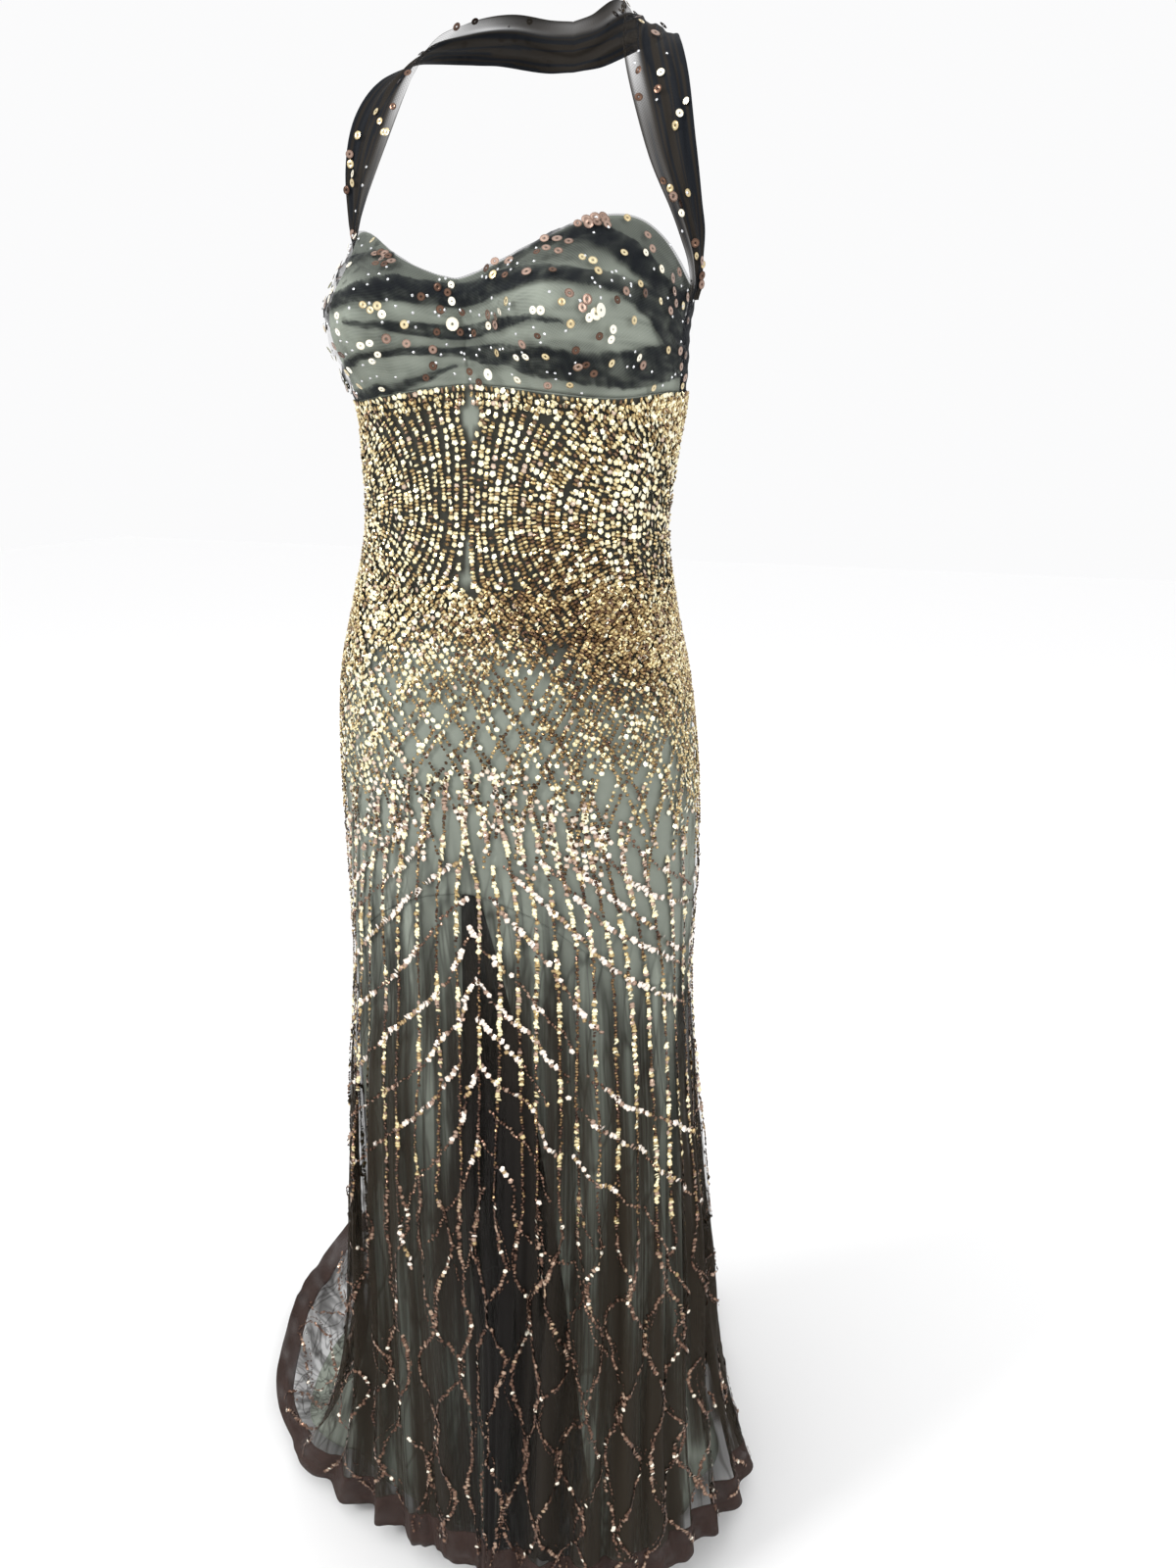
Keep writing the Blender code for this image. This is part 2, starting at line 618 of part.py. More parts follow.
def cup_levels(around):
    """The levels of the rows over the cups, which slant with the ruched folds."""
    side = (around - 180.0) / 180.0
    return [smooth((0.0, 0.5, 1.0), row[:3], side) for row in BUST_ROWS]


def bust_grid(around, levels):
    """Rows of degrees and levels over the bust, with the lowest raised off the seam by the gap."""
    low = column(BUST_SEAM, 1, from_front(around))
    high = column(TOP_EDGE, 1, from_front(around))
    lift = SEAM_GAP / (high - low)
    return [around for _ in levels], [np.maximum(level, lift) for level in levels]


def add_zip():
    """The closed zip, a flat strip over the centre-back seam of the net."""
    levels = [level for level in UPPER_LEVELS if level <= ZIP_LEVELS]
    outer = []
    inner = []
    for level in levels:
        centre = np.full(3, 90.0)
        points = net_middle(centre, level + 0 * centre)
        normal = outward(net_middle, centre, level + 0 * centre)
        points[:, 0] += np.array([0.5, 0.0, -0.5]) * ZIP_WIDTH
        inner.append(points + normal * (WALL / 2 + SEAM_GAP))
        outer.append(points + normal * (WALL * 1.5 + SEAM_GAP))
    return add_wall("back_zip", outer, inner, ZIP_DARK)


# Panels below the thigh seam: name, middle surface, first edge, last edge, columns, finish.
FLOUNCES = (
    ("flounce_back_left", flounce_middle, 0.0, 90.0, 18, SATIN),
    ("flounce_back_right", flounce_middle, 90.0, 180.0, 18, SATIN),
    ("flounce_front_right", flounce_middle, 180.0, "godet right", 16, SATIN),
    ("flounce_front_left", flounce_middle, "godet left", 360.0, 14, SATIN),
    ("godet_front", godet_middle, "godet right", "godet left", 18, NET_DARK),
)


def build():
    """Every piece of the gown."""
    for old in list(bpy.data.objects):
        bpy.data.objects.remove(old)
    for part, start, end, upper, lower in (
        ("front", 180.0, 360.0, UPPER_FRONT, LOWER_FRONT),
        ("back_left", 0.0, 90.0, UPPER_BACK, LOWER_BACK),
        ("back_right", 90.0, 180.0, UPPER_BACK, LOWER_BACK),
    ):
        add_net("net_" + part, "hem_band_" + part, start, end, upper, lower)
        add_lining("lining_" + part, start, end, upper)
    for name, middle, start, end, columns, finish in FLOUNCES:
        add_flounce(name, middle, start, end, columns, finish)
    add_bust()
    add_strap("strap_left", 1)
    add_strap("strap_right", -1)
    add_zip()


build()
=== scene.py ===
"""Halter evening gown: its satin, net, beads, sequins and fastenings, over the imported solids.

The gown's smooth surface is worked out from the same sizes as the solids.  A place on it is a pair:
q runs round the body, 0 at the centre front, 1 at the wearer's left side, 2 or -2 at the centre
back and -1 at the wearer's right side, and level runs down it, 0 at the seam under the bust, 1 at
the arched thigh seam and 2 at the hem.  Over the bust the level runs up from 0 at the same seam to
1 at the top edge.  Heights are over a floor 1.45 m below the nape.
"""

import math

import bpy
import numpy as np
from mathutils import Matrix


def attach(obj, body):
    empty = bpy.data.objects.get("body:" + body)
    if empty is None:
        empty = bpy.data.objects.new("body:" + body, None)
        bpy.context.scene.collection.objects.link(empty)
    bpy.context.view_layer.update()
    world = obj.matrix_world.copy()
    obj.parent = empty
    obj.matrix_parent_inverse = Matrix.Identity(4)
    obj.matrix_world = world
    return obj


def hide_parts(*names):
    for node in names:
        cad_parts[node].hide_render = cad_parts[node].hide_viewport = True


bl_info = {
    "name": "Beaded Halter Gown",
    "version": (1, 0, 0),
    "blender": (4, 5, 0),
    "location": "View3D > Sidebar > Gown",
    "description": "Makes the cloth, beads and fastenings of a beaded halter evening gown",
    "category": "Add Mesh",
}

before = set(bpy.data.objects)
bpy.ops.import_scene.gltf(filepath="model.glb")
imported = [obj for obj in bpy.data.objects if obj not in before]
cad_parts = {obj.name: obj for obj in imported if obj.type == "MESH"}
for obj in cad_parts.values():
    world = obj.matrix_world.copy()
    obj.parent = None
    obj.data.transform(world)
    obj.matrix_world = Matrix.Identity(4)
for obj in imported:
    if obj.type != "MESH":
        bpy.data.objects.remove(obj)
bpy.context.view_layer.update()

# Sizes shared with the solids, in metres and degrees.
NAPE = np.array([0.0, 0.1300, 1.450])
WALL = 0.0012
SEAM_GAP = 0.0003
BEAD_ROOM = 0.0010
SATIN_DEPTH = BEAD_ROOM + WALL * 1.5 + SEAM_GAP
# Torso: height, half width, reach in front, reach behind, and y of the widest place.
SECTIONS = (
    (1.300, 0.140, 0.070, 0.124, 0.040),
    (1.270, 0.1445, 0.084, 0.124, 0.036),
    (1.245, 0.1450, 0.0945, 0.122, 0.026),
    (1.215, 0.1435, 0.088, 0.119, 0.012),
    (1.190, 0.1425, 0.082, 0.117, 0.014),
    (1.165, 0.1395, 0.078, 0.115, 0.018),
    (1.120, 0.1345, 0.082, 0.110, 0.012),
    (1.058, 0.1305, 0.089, 0.103, 0.004),
    (1.000, 0.140, 0.099, 0.108, -0.006),
    (0.940, 0.1535, 0.106, 0.122, -0.010),
    (0.870, 0.161, 0.108, 0.134, -0.006),
    (0.770, 0.164, 0.107, 0.132, 0.000),
    (0.680, 0.162, 0.108, 0.126, -0.004),
    (0.530, 0.170, 0.112, 0.132, -0.010),
    (0.420, 0.172, 0.114, 0.140, -0.004),
    (0.340, 0.173, 0.116, 0.148, 0.000),
    (0.240, 0.175, 0.118, 0.156, 0.000),
    (0.120, 0.184, 0.121, 0.162, 0.000),
    (0.000, 0.196, 0.124, 0.166, 0.000),
)
FRONT_FULLNESS, BACK_FULLNESS = 2.6, 2.1
CUP_RISE, CUP_SPREAD, CUP_HEIGHT, CUP_WIDE, CUP_TALL = 0.047, 0.086, 1.214, 0.050, 0.044
CUP_SIDE_FADE = 0.6
# Seams and top edge: degrees from the centre front, and height.
BUST_SEAM = ((0, 1.172), (25, 1.164), (50, 1.161), (75, 1.166), (90, 1.168), (180, 1.166))
TOP_EDGE = (
    (0, 1.246), (14, 1.2640), (30, 1.283), (43, 1.2895), (58, 1.2865), (68, 1.277),
    (79, 1.262), (90, 1.247), (120, 1.228), (150, 1.208), (180, 1.202),
)
THIGH_SEAM = (
    (0, 0.766), (15, 0.752), (30, 0.729), (46, 0.704), (60, 0.690), (90, 0.677), (180, 0.670),
)
# Hem: degrees, x, y, height, and the power of the sweep to it.
HEM = (
    (0, 0.196, 0.010, 0.036, 3.0),
    (22, 0.211, 0.098, 0.020, 3.0),
    (45, 0.168, 0.200, 0.018, 3.0),
    (68, 0.105, 0.340, 0.018, 3.0),
    (90, 0.000, 0.500, 0.018, 3.0),
    (110, -0.150, 0.610, 0.018, 3.0),
    (130, -0.310, 0.580, 0.018, 3.2),
    (150, -0.415, 0.430, 0.018, 3.6),
    (168, -0.432, 0.262, 0.018, 4.0),
    (184, -0.408, 0.130, 0.018, 4.0),
    (198, -0.340, 0.000, 0.018, 4.0),
    (212, -0.240, -0.070, 0.018, 4.0),
    (226, -0.165, -0.086, 0.020, 4.0),
    (242, -0.100, -0.105, 0.030, 4.0),
    (270, 0.000, -0.122, 0.040, 3.0),
    (300, 0.090, -0.116, 0.042, 3.0),
    (330, 0.158, -0.074, 0.042, 3.0),
)
TRAIN_LONG, TRAIN_PACE, BAND_WIDTH = 0.30, 1.2, 0.042
FLOOR_TILT, FLOOR_REACH = (0.3, 0.8), (0.10, 0.30)
NET_FOLDS, NET_FOLD_DEPTH, NET_FLOOR_DEPTH = 26, 0.0085, 0.0045
FLOUNCE_FOLDS, FLOUNCE_FOLD_DEPTH, FLOUNCE_INSET, FLOUNCE_FLOOR_INSET = 14, 0.0050, 0.0075, 0.0012
GODET_FOLDS, GODET_FOLD_DEPTH = 9, 0.0025
FOLD_DRIFT, FOLD_EVENNESS, NET_SHIFT, FLOUNCE_SHIFT = 0.16, 0.72, 0.4, 1.3
FRONT_END = 0.970
# Flounce: degrees, and how far down the fall it ends.
FLOUNCE_END = (
    (0, 0.955), (45, 0.90), (90, 0.86), (130, 0.84), (168, 0.86), (200, 0.90), (240, FRONT_END),
    (262, FRONT_END), (290, FRONT_END), (318, FRONT_END), (335, FRONT_END),
)
# Godet: how far down the fall, and the degrees of its right and left edges.
GODET = (
    (0.00, 269.0, 271.2), (0.25, 267.5, 283.0), (0.50, 268.0, 294.0), (0.75, 272.0, 304.0),
    (1.00, 276.0, 312.0),
)
# Draped folds: level at the right side, the centre and the left side, and how far the row is raised.
BUST_ROWS = (
    (0.00, 0.00, 0.00, 0.0),
    (0.09, 0.16, 0.12, 0.0018),
    (0.18, 0.24, 0.23, 0.0),
    (0.27, 0.33, 0.35, 0.0016),
    (0.36, 0.45, 0.48, 0.0),
    (0.46, 0.57, 0.60, 0.0016),
    (0.55, 0.70, 0.71, 0.0),
    (0.64, 0.83, 0.82, 0.0020),
    (0.80, 0.93, 0.92, 0.0),
    (1.00, 1.00, 1.00, 0.0),
)
# Left strap: x, y, height, width, and the bearing and rise of its face.
STRAP = (
    (0.1491, 0.0160, 1.2350, 0.019, -4, 0),
    (0.1503, 0.0138, 1.2500, 0.021, -8, 0),
    (0.1501, 0.0080, 1.2710, 0.024, -20, 2),
    (0.1440, 0.0000, 1.3020, 0.028, -50, 6),
    (0.1340, -0.0030, 1.3380, 0.036, -76, 12),
    (0.1225, 0.0045, 1.3780, 0.043, -86, 26),
    (0.1090, 0.0220, 1.4120, 0.044, -72, 48),
    (0.0960, 0.0520, 1.4370, 0.043, -20, 64),
    (0.0760, 0.0860, 1.4500, 0.042, 32, 54),
    (0.0500, 0.1130, 1.4550, 0.041, 62, 32),
    (0.0240, 0.1270, 1.4520, 0.039, 82, 10),
    (0.0000, 0.1306, 1.4500, 0.038, 90, 0),
)

# Dark overlaps of the draped net over the bust: degrees, lower level and upper level.
BUST_LAPS = (
    ((200, 0.7, 0.73), (234, 0.81, 0.85), (245, 0.89, 0.93), (254, 0.97, 1.0)),
    ((180, 0.38, 0.52), (212, 0.45, 0.57), (236, 0.505, 0.615), (247, 0.585, 0.72),
     (257.5, 0.67, 0.86), (270, 0.73, 0.95), (276, 0.7, 0.91), (282, 0.71, 0.855),
     (288, 0.76, 0.8)),
    ((278, 0.93, 0.95), (292, 0.955, 1.01), (304, 0.865, 0.975), (318, 0.755, 0.885),
     (330, 0.68, 0.82), (340, 0.6, 0.77), (351, 0.52, 0.78), (362, 0.45, 0.82)),
    ((278, 0.72, 0.86), (286, 0.69, 0.82), (298, 0.65, 0.745), (311, 0.59, 0.675),
     (322, 0.57, 0.655), (332, 0.5, 0.645), (340, 0.45, 0.66), (348, 0.38, 0.66),
     (362, 0.26, 0.66)),
    ((242, 0.43, 0.44), (254, 0.44, 0.5), (260, 0.43, 0.53), (268, 0.43, 0.56), (281, 0.44, 0.53),
     (290, 0.44, 0.48), (306, 0.395, 0.405)),
    ((200, 0.1, 0.13), (236, 0.19, 0.23), (254, 0.26, 0.3), (260, 0.28, 0.345),
     (268, 0.275, 0.355), (273, 0.2, 0.36), (280, 0.19, 0.35), (289, 0.11, 0.3),
     (300, 0.09, 0.25), (310, 0.07, 0.235), (323, 0.06, 0.25), (339, 0.07, 0.31),
     (348, 0.1, 0.36), (362, 0.17, 0.4)),
    ((190, 0.0, 0.06), (225, 0.0, 0.06), (248, 0.01, 0.075), (260, 0.04, 0.11),
     (265, 0.12, 0.165), (269, 0.19, 0.205)),
    ((333, 0.62, 0.63), (341, 0.4, 0.72), (350, 0.22, 0.8), (362, 0.12, 0.9)),
)

# Bead strings: how many places they have round the bodice and the skirt, and their pitches.
BODY_STRINGS, LONG_STRINGS = 144, 52
BODY_PITCH, SEAM_PITCH, TRAIL_PITCH, NET_PITCH, THREAD_PITCH, CHEVRON_PITCH = (
    0.0030, 0.0046, 0.0028, 0.0036, 0.0042, 0.0034,
)
# Heights: the strings' start at the seam, the start of their second set, the first crossing, and
# where the fans above and below the waist begin.  Then the last q before the centre back.
STRING_TOP, LATTICE_START, LATTICE_TOP, FAN_UP, FAN_DOWN = 1.166, 1.030, 1.023, 1.077, 1.080
BACK_END = 1.999

# Rich and dull places of the bodice: q and its spread, level and its spread, richness and tint added.
BODICE_PLACES = (
    (0.80, 0.30, 0.16, 0.13, 0.55, -0.08),
    (0.12, 0.20, 0.12, 0.08, 0.42, 0.0),
    (-0.40, 0.34, 0.54, 0.19, 0.52, 0.0),
    (0.46, 0.38, 0.37, 0.17, -0.34, -0.19),
)

# Bead colours by tint: gold ones and pinkish ones.
GOLD_STOPS = (
    (0.00, (0.022, 0.013, 0.008)), (0.22, (0.090, 0.050, 0.024)), (0.42, (0.255, 0.160, 0.070)),
    (0.62, (0.530, 0.400, 0.190)), (0.80, (0.870, 0.775, 0.470)), (1.00, (1.000, 0.975, 0.800)),
)
PINK_STOPS = (
    (0.0, (0.040, 0.020, 0.015)), (0.35, (0.185, 0.105, 0.080)), (0.7, (0.560, 0.410, 0.350)),
    (1.0, (1.000, 0.940, 0.900)),
)

# Openings between the strings at the centres: q, height, and half their width and height.
STRING_GAPS = ((0.0, 1.150, 0.040, 0.0155), (0.0, 1.028, 0.028, 0.009), (0.0, 1.050, 0.013, 0.013))

# Places near the hem where the net is thin: q, half width in q, and how far down the fall it starts.
THIN_PLACES = ((-0.84, 0.34, 0.80), (0.35, 0.055, 0.88), (1.02, 0.14, 0.78))

# Listed sequins of the draped bust, by kind, as places: q and level.
SEQUINS = {
    "pink": (
        (-0.29, 0.91), (-0.25, 0.95), (-0.21, 0.93), (-0.25, 0.91), (0.44, 0.97), (0.47, 0.98),
        (0.5, 0.98), (0.53, 0.98), (0.54, 0.96), (0.55, 0.93), (0.51, 0.95), (0.48, 0.95),
        (0.33, 0.96), (0.38, 0.91), (0.43, 0.85), (0.36, 0.85), (0.41, 0.8), (0.72, 0.84),
        (0.7, 0.91), (0.32, 0.74), (0.16, 0.97), (0.22, 0.91), (0.67, 0.57), (0.85, 0.73),
        (0.87, 0.67), (0.84, 0.58), (0.15, 0.58), (0.19, 0.54), (0.5, 0.54), (0.56, 0.51),
        (0.55, 0.47), (0.31, 0.32), (-0.21, 0.39), (-0.16, 0.37), (-0.09, 0.34), (0.5, 0.18),
        (0.73, 0.19), (0.36, 0.07),
    ),
    "gold": (
        (0.63, 0.77), (0.62, 0.97), (0.5, 0.74), (0.54, 0.72), (0.57, 0.66), (0.71, 0.63),
        (0.79, 0.59), (-0.26, 0.58), (-0.24, 0.56), (-0.22, 0.6), (0.48, 0.5), (0.71, 0.43),
        (0.51, 0.39), (0.16, 0.29), (0.39, 0.23), (0.62, 0.2), (0.84, 0.31), (0.45, 0.08),
    ),
    "pale": (
        (0.7, 0.8), (-0.01, 0.93), (-0.01, 0.79), (-0.35, 0.48), (-0.36, 0.39), (-0.21, 0.55),
        (0.14, 0.5), (0.38, 0.48), (0.41, 0.47), (0.57, 0.42), (0.64, 0.37), (0.63, 0.32),
        (-0.29, 0.33), (-0.26, 0.35), (-0.25, 0.28), (-0.28, 0.23), (0.25, 0.24), (0.3, 0.24),
        (0.72, 0.23), (0.23, 0.09), (-0.3, 0.06),
    ),
    "wide": (
        (-0.02, 0.58), (0.59, 0.44), (0.605, 0.46), (0.1, 0.12),
    ),
    "brown": (
        (-0.27, 0.94), (-0.23, 0.95), (-0.23, 0.89), (-0.26, 0.86), (0.33, 0.85), (0.13, 0.95),
        (-0.1, 0.76), (-0.02, 0.86), (0.73, 0.59), (-0.05, 0.69), (0.02, 0.68), (0.06, 0.48),
        (-0.07, 0.49), (0.65, 0.52), (0.53, 0.19), (0.55, 0.15), (0.02, 0.14), (0.05, 0.04),
        (-0.13, 0.11), (0.42, 0.69), (0.23, 0.79), (-0.05, 0.88), (0.0, 0.51), (0.39, 0.35),
        (-0.1, 0.2), (0.51, 0.26),
    ),
}

# Slanting strings of sequins below the lattice, as places on the gown: q and level.
CHEVRONS = (
    ((0.0, 1.04), (0.04, 1.06), (0.13, 1.08), (0.2, 1.092), (0.26, 1.107), (0.32, 1.118),
     (0.39, 1.13), (0.41, 1.145)),
    ((0.02, 1.105), (0.06, 1.115), (0.11, 1.13), (0.19, 1.145), (0.26, 1.155), (0.3, 1.165),
     (0.4, 1.185)),
    ((0.03, 1.155), (0.1, 1.17), (0.17, 1.185), (0.24, 1.205), (0.32, 1.23)),
    ((0.04, 1.215), (0.1, 1.23), (0.19, 1.238), (0.24, 1.247), (0.27, 1.26), (0.3, 1.28),
     (0.35, 1.29)),
    ((0.08, 0.99), (0.135, 1.01), (0.206, 1.025), (0.26, 1.037), (0.32, 1.05), (0.39, 1.067),
     (0.46, 1.085), (0.53, 1.093)),
    ((0.45, 1.16), (0.52, 1.166), (0.57, 1.173), (0.66, 1.182), (0.75, 1.191), (0.82, 1.202),
     (1.0, 1.245)),
    ((0.135, 0.915), (0.18, 0.93), (0.25, 0.945), (0.32, 0.96), (0.4, 0.973), (0.48, 0.987),
     (0.57, 0.998), (0.69, 1.003), (0.75, 1.008), (1.0, 1.045)),
    ((0.28, 0.87), (0.36, 0.883), (0.42, 0.9), (0.49, 0.915), (0.57, 0.92), (0.66, 0.924),
     (0.75, 0.933), (0.87, 0.96), (1.0, 0.99)),
    ((0.38, 0.83), (0.49, 0.85), (0.54, 0.858), (0.61, 0.864), (0.69, 0.88), (0.74, 0.895),
     (0.83, 0.925), (1.0, 0.955)),
    ((0.48, 0.735), (0.5, 0.765), (0.57, 0.793), (0.63, 0.812), (0.71, 0.828), (0.79, 0.837),
     (1.0, 0.865)),
    ((0.61, 0.705), (0.65, 0.742), (0.72, 0.767), (0.81, 0.787), (0.92, 0.812), (1.0, 0.83)),
    ((0.38, 1.205), (0.44, 1.215), (0.51, 1.225), (0.59, 1.233), (0.68, 1.243), (0.74, 1.268),
     (0.85, 1.3), (1.0, 1.365)),
    ((0.4, 1.285), (0.47, 1.3), (0.56, 1.308), (0.61, 1.32), (0.7, 1.337), (0.73, 1.365),
     (0.79, 1.425), (0.85, 1.48), (0.93, 1.55)),
    ((0.07, 1.265), (0.135, 1.28), (0.19, 1.295), (0.25, 1.312), (0.3, 1.34), (0.32, 1.355)),
    ((0.04, 1.31), (0.1, 1.335), (0.165, 1.36), (0.17, 1.41), (0.21, 1.43), (0.25, 1.44)),
    ((0.27, 1.365), (0.285, 1.41), (0.33, 1.435), (0.42, 1.45), (0.45, 1.475), (0.49, 1.53),
     (0.55, 1.575)),
    ((0.42, 1.335), (0.44, 1.365), (0.48, 1.39), (0.53, 1.395)),
    ((0.0, 1.055), (-0.04, 1.085), (-0.07, 1.108), (-0.11, 1.125), (-0.19, 1.147), (-0.27, 1.163),
     (-0.33, 1.175), (-0.41, 1.187), (-0.6, 1.21), (-1.0, 1.27)),
    ((0.0, 1.005), (-0.06, 1.022), (-0.12, 1.045), (-0.18, 1.065), (-0.24, 1.083), (-0.34, 1.098),
     (-0.52, 1.11), (-1.0, 1.15)),
    ((-0.03, 0.93), (-0.09, 0.952), (-0.13, 0.97), (-0.18, 0.988), (-0.22, 1.0), (-0.28, 1.01),
     (-0.39, 1.02), (-1.0, 1.06)),
    ((-0.12, 0.86), (-0.18, 0.898), (-0.21, 0.918), (-0.28, 0.935), (-0.34, 0.945),
     (-0.44, 0.952), (-1.0, 0.99)),
    ((-0.21, 0.835), (-0.25, 0.853), (-0.3, 0.865), (-0.38, 0.877), (-1.0, 0.93)),
    ((0.02, 1.105), (-0.01, 1.13), (-0.03, 1.16), (-0.11, 1.19), (-0.15, 1.215), (-0.25, 1.24),
     (-0.5, 1.27), (-1.0, 1.32)),
    ((-0.03, 1.215), (-0.11, 1.26), (-0.15, 1.278), (-0.22, 1.297), (-0.3, 1.315), (-0.37, 1.328),
     (-0.6, 1.36), (-1.0, 1.41)),
    ((0.04, 1.215), (-0.01, 1.26), (-0.03, 1.295), (-0.07, 1.325), (-0.14, 1.358), (-0.2, 1.385),
     (-0.23, 1.415), (-0.26, 1.445), (-0.26, 1.475), (-0.23, 1.525)),
    ((0.04, 1.31), (0.0, 1.355), (-0.04, 1.395), (-0.09, 1.425), (-0.12, 1.455), (-0.15, 1.47)),
    ((0.06, 1.375), (0.02, 1.425), (0.0, 1.475), (-0.04, 1.52)),
)

# Loose sequins by kind: tint, pinkness and radius.
SEQUIN_KINDS = {
    "pink": (0.52, 0.9, 0.0036), "gold": (0.72, 0.15, 0.0031), "pale": (1.0, 0.35, 0.0031),
    "wide": (1.05, 0.3, 0.0046), "brown": (0.24, 0.7, 0.0031),
}
SCATTERED_KINDS = ("pink", "gold", "pale", "brown")
CRYSTAL = (1.0, 0.0, 0.0)
SEQUIN_ROOM = 0.0062

# Panels of the lining and the net: name, first and last q, and width in quarters of the gown.
PANELS = (("front", -1.0, 1.0, 2), ("back_left", 1.0, 2.0, 1), ("back_right", -2.0, -1.0, 1))

# Panels of the flounce: name, first and last edge as q or as a column of the godet's table, columns.
GODET_EDGES = {"godet right": 1, "godet left": 2}
FLOUNCES = (
    ("flounce_back_left", 1.0, 2.0, 84),
    ("flounce_back_right", -2.0, -1.0, 84),
    ("flounce_front_right", -1.0, "godet right", 76),
    ("flounce_front_left", "godet left", 1.0, 60),
)
# Thickness of the cloth, then what is added to a flat size for seams and tucks and to its area.
SATIN_WALL, NET_WALL = 0.0005, 0.0006
SEAM_ALLOWANCE, TUCK_ALLOWANCE, CUT_SHARE = 0.02, 0.06, 1.03

# Studio: lights by name, place, watts and size, then the camera's place, pitch, bearing and lens.
LIGHTS = (
    ("key", (-1.9, -2.6, 1.4), 72.0, 0.9), ("fill", (2.4, -1.6, 0.6), 24.0, 1.6),
    ("rim", (0.6, 2.6, 1.2), 16.0, 1.2),
)
LIGHT_AIM = (0.0, -0.1, -0.6)
TOP_LIGHT, TOP_LIGHT_ANGLE, TOP_LIGHT_TILT = 0.55, 0.9, (28.0, -16.0)
CAMERA_PLACE, CAMERA_PITCH, CAMERA_BEARING = (0.4387, -1.0529, -0.306), 73.0, 22.0
SENSOR, LENS_SHARE = 36.0, 1202.0 / 1600.0
FLOOR_CELLS, FLOOR_DROP = 41, 0.0005


def smooth(keys, values, at):
    """A cubic through the keyed values, with slopes taken from the neighbours on each side."""
    keys = np.asarray(keys, float)
    values = np.asarray(values, float)
    at = np.clip(np.asarray(at, float), keys[0], keys[-1])
    step = np.diff(keys)
    slope = np.diff(values) / step
    tangent = np.empty_like(values)
    tangent[0] = slope[0]
    tangent[-1] = slope[-1]
    tangent[1:-1] = (slope[:-1] * step[1:] + slope[1:] * step[:-1]) / (step[:-1] + step[1:])
    i = np.clip(np.searchsorted(keys, at, side="right") - 1, 0, len(keys) - 2)
    t = (at - keys[i]) / step[i]
    start = (1 + 2 * t) * (1 - t) ** 2 * values[i] + t * (1 - t) ** 2 * step[i] * tangent[i]
    end = t * t * (3 - 2 * t) * values[i + 1] + t * t * (t - 1) * step[i] * tangent[i + 1]
    return start + end


def column(table, index, at):
    """One column of a table, smoothed along the table's first column."""
    rows = sorted(table)
    return smooth([row[0] for row in rows], [row[index] for row in rows], at)


def column_round(table, index, degrees):
    """The same round the whole circle."""
    rows = sorted(table)
    keys = [row[0] + turn for turn in (-360, 0, 360) for row in rows]
    return smooth(keys, [row[index] for row in rows] * 3, np.mod(degrees, 360.0))


def from_front(degrees):
    """Degrees from the centre front, the same on both sides."""
    return np.abs(np.mod(np.asarray(degrees, float) - 90.0, 360.0) - 180.0)


def ease(value, low, high):
    """From 0 at low to 1 at high, level at both ends."""
    t = np.clip((value - low) / (high - low), 0.0, 1.0)
    return t * t * (3 - 2 * t)


def hump(value, middle, spread):
    """A bell, 1 at its middle: e to the power of less the square of the distance in spreads."""
    return np.exp(-((value - middle) / spread) ** 2)


def fronted(q):
    """The place at the front that lies as far from a side as this one, which may be at the back."""
    return np.where(np.abs(q) > 1.0, np.sign(q) * 2.0 - q, q)


def unit(vectors):
    """The same directions with length 1."""
    return vectors / np.maximum(np.linalg.norm(vectors, axis=-1, keepdims=True), 1e-12)


def torso(degrees, height):
    """A point on the figure: a superellipse's half in front, one behind, and the two cups."""
    angle = np.radians(degrees)
    front = np.sin(angle) < 0
    power = 2.0 / np.where(front, FRONT_FULLNESS, BACK_FULLNESS)
    middle = column(SECTIONS, 4, height)
    depth = np.where(front, column(SECTIONS, 2, height) + middle, column(SECTIONS, 3, height) - middle)
    x = column(SECTIONS, 1, height) * np.sign(np.cos(angle)) * np.abs(np.cos(angle)) ** power
    y = middle + depth * np.sign(np.sin(angle)) * np.abs(np.sin(angle)) ** power
    cup = CUP_RISE * hump(np.abs(x), CUP_SPREAD, CUP_WIDE) * hump(height, CUP_HEIGHT, CUP_TALL)
    cup = cup * ease(-np.sin(angle), 0.0, CUP_SIDE_FADE)
    return np.stack([x, y - cup, height + 0 * x], axis=-1)


def bust(degrees, level):
    """The bodice above the seam, from level 0 at the seam to 1 at the top edge."""
    low = column(BUST_SEAM, 1, from_front(degrees))
    high = column(TOP_EDGE, 1, from_front(degrees))
    return torso(degrees, low + (high - low) * level)


def pace_of(degrees):
    """How much sooner the cloth comes down to the floor than it runs out, as a power."""
    hem = np.stack([column_round(HEM, i, degrees) for i in (1, 2, 3)], axis=-1)
    foot = torso(degrees, hem[..., 2])
    sweep = (hem - foot)[..., :2]
    return hem, sweep, 1.0 + TRAIN_PACE * ease(np.linalg.norm(sweep, axis=-1), 0.0, TRAIN_LONG)


